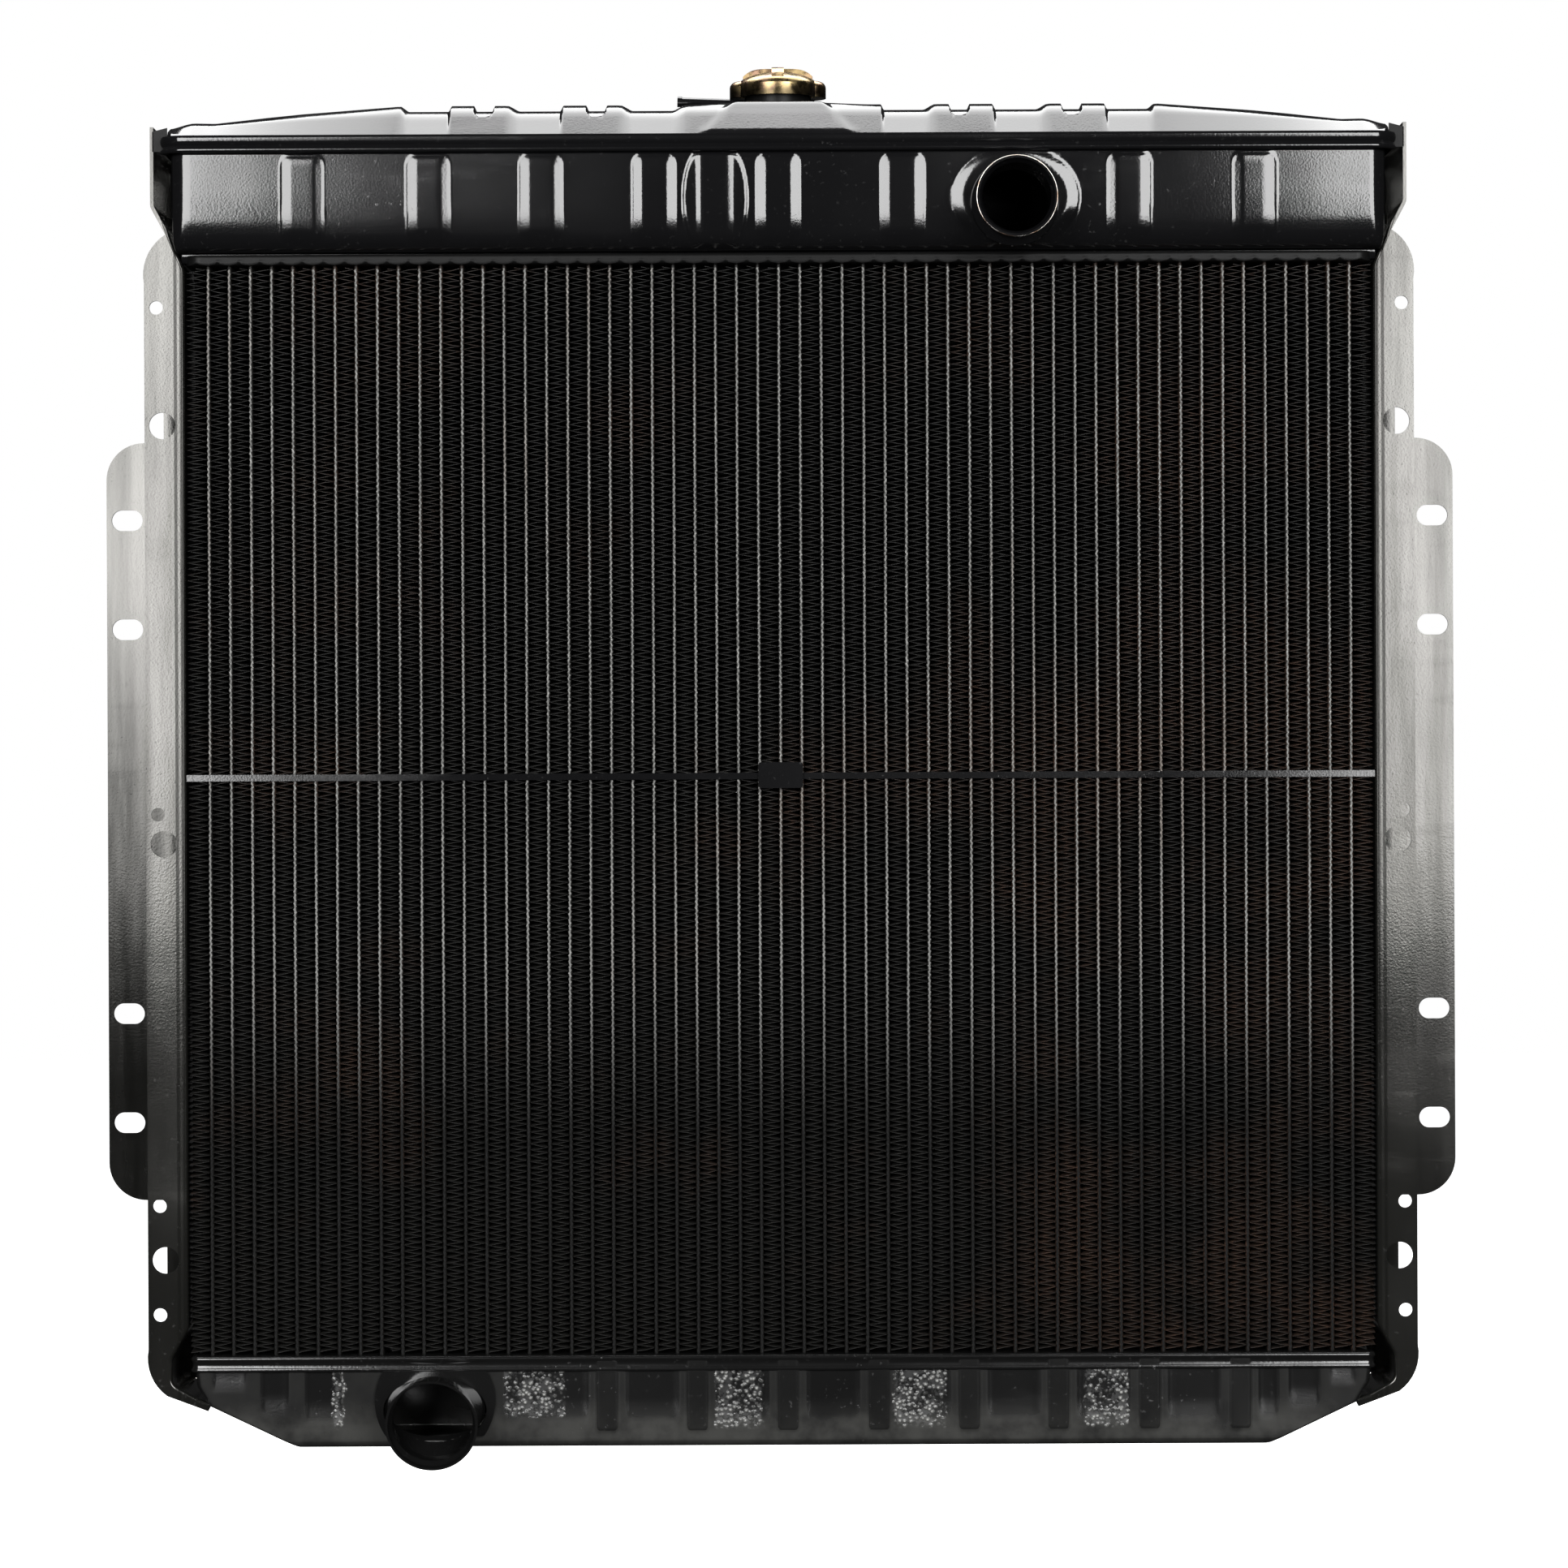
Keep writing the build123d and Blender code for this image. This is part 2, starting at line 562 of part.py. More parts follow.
def mounting_flange():
    """Right mounting flange: rounded plate behind the member's rear flange, with four slots."""
    inner = 316.0
    plate = Pos((inner + FLANGE_HALF_X) / 2, 0) * Rectangle(FLANGE_HALF_X - inner, 2 * FLANGE_HALF_Z)
    outer_corners = plate.vertices().sort_by(Axis.X)[-2:]
    plate = fillet(outer_corners, FLANGE_CORNER_R)
    for z in (SLOT_OUTER_Z, SLOT_INNER_Z, -SLOT_INNER_Z, -SLOT_OUTER_Z):
        plate -= Pos(SLOT_X, z) * SlotOverall(SLOT_LENGTH, SLOT_WIDTH)
    return front_prism(plate, -FLANGE_SHEET, 0.0)


def tie_strap(rear):
    """Thin strap across the core face, between the side members."""
    face = CORE_Y + CORE_DEPTH / 2 if rear else CORE_Y - CORE_DEPTH / 2
    span = (face, face + 0.8) if rear else (face - 0.8, face)
    return block((-312.1, 312.1), span, (21.3, 24.7))


def strap_clip():
    face = CORE_Y - CORE_DEPTH / 2
    clip = block((-11.7, 11.7), (face - 2.6, face), (16.6, 30.2))
    clip = fillet(clip.edges().filter_by(Axis.Y), 1.5)
    return clip - tie_strap(False)


# ------------------------------------------------------------------ drain cock
def drain_body():
    """Threaded cock body in the tank's rear wall."""
    y = DRAIN_FACE_Y
    body = round_bar(DRAIN_X, DRAIN_Z, 5.0, y - 6.0, y)
    hexagon = Pos(DRAIN_X, DRAIN_Z) * RegularPolygon(8.0, 6)
    body += front_prism(hexagon, y + 1.0, y + 7.0)
    body += round_bar(DRAIN_X, DRAIN_Z, 5.0, y, y + 15.0)
    return body - round_bar(DRAIN_X, DRAIN_Z, 3.0, y - 7.0, y + 16.0)


def drain_washer():
    y = DRAIN_FACE_Y
    return round_bar(DRAIN_X, DRAIN_Z, 8.0, y, y + 1.0) - round_bar(DRAIN_X, DRAIN_Z, 5.0, y - 1, y + 2)


def drain_stem():
    """Plunger with a sealing head inside the tank and a spindle that carries the wing."""
    y = DRAIN_FACE_Y
    plunger = round_bar(DRAIN_X, DRAIN_Z, 2.95, y - 5.0, y + 15.1)
    return plunger + round_bar(DRAIN_X, DRAIN_Z, 2.0, y + 15.1, y + 21.0)


def drain_wing():
    y = DRAIN_FACE_Y
    wing = front_prism(Pos(DRAIN_X, DRAIN_Z) * SlotOverall(26.0, 7.0), y + 15.2, y + 20.6)
    wing = fillet(wing.edges().group_by(Axis.Y)[-1], 1.2)
    hub = round_bar(DRAIN_X, DRAIN_Z, 5.0, y + 15.2, y + 20.6)
    return wing + hub - round_bar(DRAIN_X, DRAIN_Z, 2.05, y + 14, y + 22)


# ------------------------------------------------------------------ write every node
NODES = {
    "tube_row_front": lambda: tube_row(-1),
    "tube_row_middle": lambda: tube_row(0),
    "tube_row_rear": lambda: tube_row(1),
    "fin_strips": fin_strips,
    "top_header": top_header,
    "bottom_header": bottom_header,
    "top_tank_body": top_tank_body,
    "top_tank_cover": top_tank_cover,
    "bottom_tank": bottom_tank,
    "inlet_neck": inlet_neck,
    "inlet_collar": inlet_collar,
    "outlet_neck": outlet_neck,
    "outlet_collar": outlet_collar,
    "filler_neck": filler_neck,
    "overflow_nipple": overflow_nipple,
    "cap_shell": cap_shell,
    "cap_rivet": cap_rivet,
    "cap_spring_disc": cap_spring_disc,
    "cap_seal": cap_seal,
    "cap_valve_plate": valve_plate,
    "cap_valve_seal": valve_seal,
    "cap_pressure_spring": pressure_spring,
    "cap_vacuum_valve": vacuum_valve,
    "cap_vacuum_spring": vacuum_spring,
    "side_member_right": side_member,
    "side_member_left": lambda: mirrored(side_member()),
    "mounting_flange_right": mounting_flange,
    "mounting_flange_left": lambda: mirrored(mounting_flange()),
    "tie_strap_front": lambda: tie_strap(False),
    "tie_strap_rear": lambda: tie_strap(True),
    "strap_clip": strap_clip,
    "drain_body": drain_body,
    "drain_washer": drain_washer,
    "drain_stem": drain_stem,
    "drain_wing": drain_wing,
}

os.makedirs("parts", exist_ok=True)
for name, make in NODES.items():
    export_step(make(), f"parts/{name}.step")
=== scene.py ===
import math

import bpy
import numpy as np
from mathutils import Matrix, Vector


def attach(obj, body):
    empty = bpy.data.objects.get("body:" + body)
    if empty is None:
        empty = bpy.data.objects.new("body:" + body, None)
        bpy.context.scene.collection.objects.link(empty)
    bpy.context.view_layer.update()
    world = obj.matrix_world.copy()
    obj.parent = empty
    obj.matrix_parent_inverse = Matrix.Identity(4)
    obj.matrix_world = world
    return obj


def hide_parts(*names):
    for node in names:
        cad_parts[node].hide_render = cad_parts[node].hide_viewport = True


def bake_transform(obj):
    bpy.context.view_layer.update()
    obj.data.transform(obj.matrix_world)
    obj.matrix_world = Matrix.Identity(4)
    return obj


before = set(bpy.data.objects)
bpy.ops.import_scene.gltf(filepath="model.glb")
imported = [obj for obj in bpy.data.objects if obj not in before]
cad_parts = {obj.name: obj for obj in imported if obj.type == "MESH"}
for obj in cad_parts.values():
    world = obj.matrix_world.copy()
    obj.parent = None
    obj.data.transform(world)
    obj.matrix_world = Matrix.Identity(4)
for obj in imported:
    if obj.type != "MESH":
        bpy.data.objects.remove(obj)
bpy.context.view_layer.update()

random = np.random.default_rng(7)

# Shapes below are written in millimetres, in the CAD frame, and scaled as each mesh is made.
MM = 0.001
ROOT = "radiator"
CORE_Y = -30.0
CAP_Y = -20.0
CORE_FRONT = -56.0
CORE_REAR = -4.0
TUBE_PITCH = 11.11
TUBE_COUNT = 55
TUBE_THICK = 2.0
FIN_LOW, FIN_HIGH = -279.4, 291.3
FIN_END_X = 311.2
FIN_PERIOD = 3.1
LOUVRE_RISE = 3.3           # the folds are bent along their depth, so no straight line passes through


# ------------------------------------------------------------------ small maths
def smooth(t):
    """Smooth step of t, from 0 at 0 to 1 at 1."""
    t = np.clip(t, 0.0, 1.0)
    return t * t * (3.0 - 2.0 * t)


def soft_max(a, b, width):
    """The larger of a and b, rounded where they meet."""
    h = np.clip(0.5 + 0.5 * (a - b) / width, 0.0, 1.0)
    return b * (1.0 - h) + a * h + width * h * (1.0 - h)


def soft_min(a, b, width):
    return -soft_max(-a, -b, width)


def rounded_box(dx, dz, half_x, half_z, radius):
    """Signed distance to a rounded rectangle, negative inside."""
    qx = np.abs(dx) - half_x + radius
    qz = np.abs(dz) - half_z + radius
    outside = np.hypot(np.maximum(qx, 0.0), np.maximum(qz, 0.0))
    return outside + np.minimum(np.maximum(qx, qz), 0.0) - radius


def tube_columns():
    return [(i - (TUBE_COUNT - 1) / 2) * TUBE_PITCH for i in range(TUBE_COUNT)]


# ------------------------------------------------------------------ meshes
def mesh_object(name, points, faces, material, body=ROOT, replaces=(), crease=40.0):
    """A mesh from millimetre points, smooth apart from edges sharper than crease degrees."""
    mesh = bpy.data.meshes.new(name)
    mesh.from_pydata((np.asarray(points, float) * MM).tolist(), [], faces)
    mesh.update()
    mesh.polygons.foreach_set("use_smooth", [True] * len(mesh.polygons))
    mesh.set_sharp_from_angle(angle=math.radians(crease))
    made = bpy.data.objects.new(name, mesh)
    bpy.context.scene.collection.objects.link(made)
    made.data.materials.append(material)
    if body is not None:
        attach(made, body)
    if replaces:
        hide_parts(*replaces)
    return made


def grid_faces(rows, columns, wrap=False, first=0, flip=False):
    """Quads over a rows x columns block of points; wrap joins the last column to the first."""
    faces = []
    last = columns if wrap else columns - 1
    for r in range(rows - 1):
        for c in range(last):
            d = (c + 1) % columns
            quad = (first + r * columns + c, first + r * columns + d,
                    first + (r + 1) * columns + d, first + (r + 1) * columns + c)
            faces.append(quad[::-1] if flip else quad)
    return faces


def thicken(piece, wall):
    """Gives an open skin a wall on its inner side."""
    solid = piece.modifiers.new("wall", "SOLIDIFY")
    solid.thickness = wall * MM
    solid.offset = -1.0
    solid.use_even_offset = False
    graph = bpy.context.evaluated_depsgraph_get()
    piece.data = bpy.data.meshes.new_from_object(piece.evaluated_get(graph))
    piece.modifiers.clear()


def stations(low, high, step, marks, fine, reach):
    """Positions from low to high, step apart, and fine apart within reach of a mark."""
    values = [low]
    while values[-1] < high - 1e-6:
        x = values[-1]
        near = any(abs(x - m) < reach for m in marks)
        values.append(min(high, x + (fine if near else step)))
    return values


def outline(half_x, half_y, radius, xs, corner_steps=8, end_steps=8):
    """Points and outward normals round a rounded rectangle, from the front's left end.

    xs are the stations along the front and back, from -1 to 1 of their straight length.
    """
    straight_x, straight_y = half_x - radius, half_y - radius
    points, normals = [], []

    def arc(centre_x, centre_y, start):
        for i in range(1, corner_steps):
            a = math.radians(start + 90.0 * i / corner_steps)
            normals.append((math.cos(a), math.sin(a)))
            points.append((centre_x + radius * math.cos(a), centre_y + radius * math.sin(a)))

    for s in xs:
        points.append((s * straight_x, -half_y))
        normals.append((0.0, -1.0))
    arc(straight_x, -straight_y, -90.0)
    for i in range(end_steps + 1):
        points.append((half_x, straight_y * (2.0 * i / end_steps - 1.0)))
        normals.append((1.0, 0.0))
    arc(straight_x, straight_y, 0.0)
    for s in reversed(xs):
        points.append((s * straight_x, half_y))
        normals.append((0.0, 1.0))
    arc(-straight_x, straight_y, 90.0)
    for i in range(end_steps + 1):
        points.append((-half_x, straight_y * (1.0 - 2.0 * i / end_steps)))
        normals.append((-1.0, 0.0))
    arc(-straight_x, -straight_y, 180.0)
    return np.array(points), np.array(normals)


# ------------------------------------------------------------------ materials
class Tree:
    """Short names for the nodes that the materials below are made of."""

    def __init__(self, name):
        self.material = bpy.data.materials.new(name)
        self.material.use_nodes = True
        self.nodes = self.material.node_tree.nodes
        self.links = self.material.node_tree.links
        self.shader = self.nodes["Principled BSDF"]
        self.position = self.nodes.new("ShaderNodeTexCoord").outputs["Object"]

    @classmethod
    def on(cls, material):
        """The same short names for a material that has been made already."""
        self = cls.__new__(cls)
        self.material = material
        self.nodes = material.node_tree.nodes
        self.links = material.node_tree.links
        self.shader = self.nodes["Principled BSDF"]
        self.position = self.nodes["Texture Coordinate"].outputs["Object"]
        return self

    def put(self, socket, value):
        if isinstance(value, bpy.types.NodeSocket):
            self.links.new(value, socket)
        else:
            socket.default_value = value

    def set(self, **values):
        for name, value in values.items():
            self.put(self.shader.inputs[name.replace("_", " ")], value)

    def scaled(self, by, offset=(0.0, 0.0, 0.0)):
        node = self.nodes.new("ShaderNodeMapping")
        self.links.new(self.position, node.inputs["Vector"])
        node.inputs["Scale"].default_value = by
        node.inputs["Location"].default_value = offset
        return node.outputs["Vector"]

    def noise(self, scale, detail=2.0, rough=0.5, vector=None, distortion=0.0):
        node = self.nodes.new("ShaderNodeTexNoise")
        self.links.new(vector or self.position, node.inputs["Vector"])
        node.inputs["Scale"].default_value = scale
        node.inputs["Detail"].default_value = detail
        node.inputs["Roughness"].default_value = rough
        node.inputs["Distortion"].default_value = distortion
        return node.outputs["Fac"]

    def cells(self, scale, vector=None):
        node = self.nodes.new("ShaderNodeTexVoronoi")
        self.links.new(vector or self.position, node.inputs["Vector"])
        node.inputs["Scale"].default_value = scale
        return node.outputs["Distance"]

    def axis(self, letter):
        node = self.nodes.new("ShaderNodeSeparateXYZ")
        self.links.new(self.position, node.inputs["Vector"])
        return node.outputs[letter]

    def remap(self, value, low, high, to_low=0.0, to_high=1.0, kind="SMOOTHSTEP"):
        node = self.nodes.new("ShaderNodeMapRange")
        node.interpolation_type = kind
        self.links.new(value, node.inputs["Value"])
        node.inputs["From Min"].default_value = low
        node.inputs["From Max"].default_value = high
        node.inputs["To Min"].default_value = to_low
        node.inputs["To Max"].default_value = to_high
        return node.outputs["Result"]

    def sum(self, a, b, kind="ADD"):
        node = self.nodes.new("ShaderNodeMath")
        node.operation = kind
        self.put(node.inputs[0], a)
        self.put(node.inputs[1], b)
        return node.outputs["Value"]

    def times(self, a, b):
        return self.sum(a, b, "MULTIPLY")

    def colour(self, share, first, second):
        node = self.nodes.new("ShaderNodeMix")
        node.data_type = "RGBA"
        self.put(node.inputs["Factor"], share)
        for socket, value in ((node.inputs[6], first), (node.inputs[7], second)):
            self.put(socket, value if isinstance(value, bpy.types.NodeSocket) else (*value, 1.0))
        return node.outputs[2]

    def bump(self, height, distance, strength=1.0, under=None):
        node = self.nodes.new("ShaderNodeBump")
        self.links.new(height, node.inputs["Height"])
        node.inputs["Distance"].default_value = distance
        node.inputs["Strength"].default_value = strength
        if under is not None:
            self.links.new(under, node.inputs["Normal"])
        return node.outputs["Normal"]


def enamel(name, dark, dusty, rough, wave, peel=0.00002, specks=0.5):
    """Sprayed black enamel: slow waves, fine orange peel, dust and a few rubbed streaks."""
    t = Tree(name)
    cloud = t.noise(9.0, 3.0)
    dust = t.remap(t.noise(420.0, 2.0), 0.64, 0.78)
    dust = t.times(dust, t.remap(t.noise(14.0, 2.0), 0.45, 0.75, 0.15, specks))
    rub = t.remap(t.noise(60.0, 4.0, 0.6, t.scaled((0.25, 1.0, 1.0))), 0.55, 0.8)
    t.set(Base_Color=t.colour(dust, dark, dusty))
    rough_now = t.remap(cloud, 0.3, 0.7, rough - 0.02, rough + 0.04)
    rough_now = t.sum(rough_now, t.times(rub, 0.05))
    rough_now = t.sum(rough_now, t.times(dust, 0.25))
    t.set(Roughness=rough_now)
    slow = t.bump(t.noise(24.0, 1.0), wave)
    fine = t.bump(t.noise(900.0, 1.0), peel, 1.0, slow)
    t.set(Normal=t.bump(dust, 0.00003, 1.0, fine))
    return t.material


def member_paint(name):
    """Enamel on the side members: clouded upright streaks and a faint warm cast."""
    material = enamel(name, (0.005, 0.005, 0.0045), (0.04, 0.04, 0.04), 0.13, 0.00006, specks=0.3)
    t = Tree.on(material)
    streak = t.remap(t.noise(30.0, 4.0, 0.6, t.scaled((2.2, 1.0, 0.16))), 0.3, 0.7, 0.42, 0.68)
    outer = t.remap(t.axis("X"), -0.336, -0.328, 1.0, 0.0)
    outer = t.times(outer, t.remap(t.axis("Z"), 0.14, -0.02))
    sideways = t.sum(t.axis("X"), 0.0, "ABSOLUTE")
    fold = t.times(t.remap(sideways, 0.3157, 0.3165), t.remap(sideways, 0.3175, 0.3181, 1.0, 0.0))
    shade = t.sum(fold, t.remap(sideways, 0.3150, 0.3145), "MAXIMUM")
    gloss = t.sum(streak, t.times(outer, -0.36))
    t.set(Specular_IOR_Level=t.times(gloss, t.remap(shade, 0.0, 1.0, 1.0, 0.35)))
    t.set(Specular_Tint=(1.0, 0.985, 0.94, 1.0))
    return material


# Where the paint on the bottom tank has bubbled, in millimetres: X range and lowest Z.
BUBBLED = [(-236.0, -230.0, -318.0), (-146.0, -115.5, -312.0), (-35.5, -11.5, -318.0), (58.0, 85.0, -318.0),
           (158.0, 180.5, -318.0)]


def mottled(name):
    """The bottom tank's enamel, with silvery bubbled patches on its engine side."""
    material = enamel(name, (0.004, 0.004, 0.004), (0.05, 0.05, 0.05), 0.15, 0.00018, specks=0.7)
    t = Tree.on(material)
    x, z = t.axis("X"), t.axis("Z")
    # Painted reflection: the paint turns lighter grey towards the bottom, from -300 mm to -320 mm. The outer
    # plane is greyer and patchy; the ribs and the recessed panels stay black, the panels only partly
    # lightened low down.
    low = t.remap(z, -0.300, -0.320)
    proud = t.remap(t.axis("Y"), -0.0617, -0.06195)
    rib = t.times(t.remap(t.axis("Y"), -0.0624, -0.0628), t.remap(t.axis("Y"), -0.066, -0.067, 1.0, 0.0))
    grey_and_low_reflection = t.colour(low, (0.013, 0.013, 0.0125), (0.034, 0.034, 0.032))
    film = t.colour(t.remap(t.noise(45.0, 4.0, 0.6), 0.3, 0.75), grey_and_low_reflection, (0.009, 0.009, 0.009))
    black = t.shader.inputs["Base Color"].links[0].from_socket
    deep = t.colour(t.times(low, 0.6), black, film)
    t.set(Base_Color=t.colour(t.times(rib, 0.75), t.colour(proud, deep, film), black))
    ragged = t.times(t.sum(t.noise(160.0, 4.0, 0.6), -0.5), 0.006)
    shifted_x = t.sum(x, ragged)
    inside = None
    for low, high, foot in BUBBLED:
        window = t.times(t.remap(shifted_x, low * MM - 0.0012, low * MM + 0.0012),
                         t.remap(shifted_x, high * MM - 0.0012, high * MM + 0.0012, 1.0, 0.0))
        window = t.times(window, t.remap(z, foot * MM - 0.002, foot * MM + 0.002))
        inside = window if inside is None else t.sum(inside, window, "MAXIMUM")
    inside = t.times(inside, t.remap(t.axis("Y"), -0.058, -0.060, 0.0, 1.0))
    cell = t.cells(430.0)
    dome = t.remap(cell, 0.55, 0.10)
    lit = t.remap(t.noise(170.0, 3.0, 0.7), 0.42, 0.60)
    inside = t.times(inside, t.sum(t.times(lit, 0.85), 0.15))
    shown = t.times(inside, dome)
    base = t.shader.inputs["Base Color"].links[0].from_socket
    t.set(Base_Color=t.colour(shown, base, (0.24, 0.24, 0.23)))
    rough = t.shader.inputs["Roughness"].links[0].from_socket
    t.set(Roughness=t.sum(rough, t.times(inside, 0.22)))
    under = t.shader.inputs["Normal"].links[0].from_socket
    t.set(Normal=t.bump(shown, 0.0006, 1.0, under))
    return material


def solder_metal(name):
    """Tube noses: dull solder with warm copper patches, flecks of thin paint and a painted shade that blacks
    them out towards the bottom.
    """
    t = Tree(name)
    grain = t.noise(700.0, 3.0)
    patch = t.remap(t.noise(7.0, 3.0, 0.6), 0.52, 0.75)
    metal = t.colour(t.remap(grain, 0.35, 0.7), (0.55, 0.55, 0.53), (0.85, 0.84, 0.81))
    metal = t.colour(t.times(patch, 0.35), metal, (0.60, 0.40, 0.28))
    # Painted shade: the noses turn black towards the bottom, from 50 mm down to -170 mm; the flecks are real
    # paint.
    painted_low_shade = t.remap(t.axis("Z"), 0.05, -0.17)
    flecks = t.times(t.remap(t.noise(260.0, 4.0, 0.65), 0.5, 0.75), 0.35)
    paint_and_low_shade = t.sum(painted_low_shade, flecks, "MAXIMUM")
    t.set(Base_Color=t.colour(paint_and_low_shade, metal, (0.012, 0.012, 0.012)))
    t.set(Metallic=t.remap(paint_and_low_shade, 0.0, 1.0, 0.85, 0.0))
    t.set(Roughness=t.remap(grain, 0.3, 0.7, 0.34, 0.52))
    t.set(Normal=t.bump(grain, 0.00012))
    return t.material


def fin_paint(name):
    """Thin black paint over copper fins, with bare warm areas."""
    t = Tree(name)
    side = t.remap(t.axis("X"), 0.02, 0.26)
    area = t.remap(t.sum(t.noise(9.0, 3.0, 0.6), t.times(side, 0.13)), 0.5, 0.72)
    speck = t.remap(t.noise(330.0, 3.0, 0.6), 0.45, 0.7)
    warm = t.times(area, t.sum(t.times(speck, 0.7), 0.3))
    t.set(Base_Color=t.colour(warm, (0.006, 0.0057, 0.005), (0.040, 0.020, 0.012)))
    t.set(Roughness=t.remap(speck, 0.0, 1.0, 0.5, 0.68))
    t.set(Specular_IOR_Level=0.25)
    t.set(Normal=t.bump(t.noise(500.0, 2.0), 0.0001))
    return t.material


def plated(name, base, tints, rough):
    """Yellow zinc plate: brushed steel under drifting gold, green and pink films."""
    t = Tree(name)
    film = t.noise(55.0, 3.0, 0.55, distortion=0.6)
    colour = t.colour(t.remap(film, 0.35, 0.5), tints[0], base)
    colour = t.colour(t.remap(film, 0.52, 0.68), colour, tints[1])
    stain = t.remap(t.noise(180.0, 4.0, 0.65), 0.58, 0.8)
    colour = t.colour(t.times(stain, 0.6), colour, (0.10, 0.06, 0.03))
    # Painted shade: the cap's skirt, below 388.5 mm, is painted almost black; above 394.5 mm the plate is
    # only dulled towards brown.
    skirt = t.remap(t.sum(t.axis("Z"), t.times(t.noise(60.0, 2.0), 0.006)), 0.3885, 0.3945)
    painted_skirt_shade = t.colour(0.9, colour, (0.012, 0.010, 0.007))
    dulled = t.colour(0.35, colour, (0.10, 0.07, 0.03))
    t.set(Base_Color=t.colour(skirt, painted_skirt_shade, dulled))
    t.set(Metallic=1.0)
    t.set(Roughness=t.remap(t.noise(240.0, 3.0), 0.3, 0.7, rough - 0.06, rough + 0.1))
    t.set(Normal=t.bump(t.noise(420.0, 2.0), 0.00003))
    return t.material


def worn_metal(name, base, dark, rough):
    """Bare metal, darker in patches and unevenly polished."""
    t = Tree(name)
    tone = t.noise(130.0, 4.0, 0.6)
    t.set(Base_Color=t.colour(t.remap(tone, 0.4, 0.75), base, dark))
    t.set(Metallic=1.0)
    t.set(Roughness=t.remap(t.noise(300.0, 3.0), 0.3, 0.7, rough - 0.05, rough + 0.12))
    t.set(Normal=t.bump(t.noise(600.0, 2.0), 0.00003))
    return t.material


def rubber(name):
    """Matt black rubber with a fine grain."""
    t = Tree(name)
    grain = t.noise(900.0, 2.0)
    tone = t.remap(t.noise(80.0, 3.0), 0.4, 0.7)
    t.set(Base_Color=t.colour(tone, (0.012, 0.012, 0.012), (0.03, 0.03, 0.03)))
    t.set(Roughness=t.remap(grain, 0.3, 0.7, 0.55, 0.75))
    t.set(Normal=t.bump(grain, 0.00005))
    return t.material


TANK = enamel("tank_enamel", (0.003, 0.003, 0.0033), (0.04, 0.04, 0.04), 0.10, 0.00012)
SUMP = enamel("sump_enamel", (0.004, 0.004, 0.004), (0.05, 0.05, 0.05), 0.12, 0.00018, specks=0.7)
STEEL = member_paint("member_enamel")
SHADE = enamel("shaded_enamel", (0.003, 0.003, 0.003), (0.02, 0.02, 0.02), 0.35, 0.00006, specks=0.2)
Tree.on(SHADE).set(Specular_IOR_Level=0.09)
SUMP_MOTTLED = mottled("sump_mottled")
SOLDER = solder_metal("tube_solder")
FIN = fin_paint("fin_paint")
GOLD = plated("gold_zinc", (0.36, 0.265, 0.13), ((0.22, 0.17, 0.08), (0.34, 0.21, 0.15)), 0.25)
SPRING = worn_metal("spring_steel", (0.42, 0.42, 0.42), (0.2, 0.19, 0.18), 0.3)
BRASS = worn_metal("valve_brass", (0.60, 0.44, 0.20), (0.30, 0.2, 0.1), 0.32)
SEAL = rubber("seal_rubber")

CAD_LOOKS = {
    "tube_row_front": FIN, "tube_row_middle": FIN, "tube_row_rear": SOLDER,
    "inlet_neck": TANK, "inlet_collar": TANK,
    "outlet_neck": SUMP, "outlet_collar": SUMP, "filler_neck": SHADE, "overflow_nipple": TANK,
    "cap_shell": GOLD, "cap_rivet": GOLD, "cap_spring_disc": SPRING, "cap_seal": SEAL,
    "cap_valve_plate": SPRING, "cap_valve_seal": SEAL, "cap_vacuum_valve": BRASS,
    "side_member_right": STEEL,
    "side_member_left": STEEL, "mounting_flange_right": STEEL, "mounting_flange_left": STEEL,
    "tie_strap_front": TANK, "tie_strap_rear": TANK, "strap_clip": TANK, "drain_body": BRASS,
    "drain_washer": SEAL, "drain_stem": BRASS, "drain_wing": BRASS,
}
for node, look in CAD_LOOKS.items():
    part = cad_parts[node]
    part.data.materials.clear()
    part.data.materials.append(look)


# ------------------------------------------------------------------ top tank, lower pressing
TANK_HALF_X, TANK_HALF_Y, TANK_CORNER = 318.3, 40.0, 9.0
TANK_TOP_Z, TANK_LOW_Z = 350.0, 298.0
ROLL_Z, ROLL_SPREAD = 330.0, 250.0
RIB_X = [-249.0, -183.0, -124.0, -65.0, 0.0, 65.0, 183.5, 249.0]
RIB_HALF = 10.6
LENS_X, LENS_Z = -33.0, 325.0
INLET_X, INLET_Z = 123.4, 321.8
OUTLET_X, OUTLET_Z = -182.6, -308.0


def tank_swage(x, z):
    """How far the tank's long faces stand out from their plane at x, z."""
    rise = np.zeros_like(x)
    for centre in RIB_X:
        edge = -rounded_box(x - centre, z - 326.0, RIB_HALF + 1.0, 22.6, 6.0)
        flank = soft_min(edge / 5.2, np.ones_like(edge), 0.16)
        rise = np.maximum(rise, np.where(edge > 0, 0.25 * smooth(edge / 0.6) + 0.92 * flank, 0.0))
    return rise


def front_swage(x, z):
    """The oval boss and the inlet's pad, on the engine side only."""
    bow = np.sqrt(np.clip(1.0 - ((z - LENS_Z) / 24.0) ** 2, 0.0, 1.0))
    width = 9.0 + 8.2 * bow
    inward = width - np.abs(x - LENS_X)
    lens = 0.55 * smooth(inward / 1.1) + 0.3 * np.clip(inward / (width - 8.4), 0.0, 1.0)
    lens += 0.5 * smooth((inward - width + 9.6) / 1.8)
    lens = np.where(inward > 0, lens * smooth((bow - 0.02) / 0.3), 0.0)
    reach = (1.0 - np.hypot((x - INLET_X - 0.9) / 33.5, (z - 325.0) / 27.0)) * 33.5
    slope = soft_min(reach / 6.0, np.ones_like(reach), 0.2)
    pad = np.where(reach > 0, 0.25 * smooth(reach / 0.8) + 1.25 * slope, 0)
    return np.maximum(lens, pad)


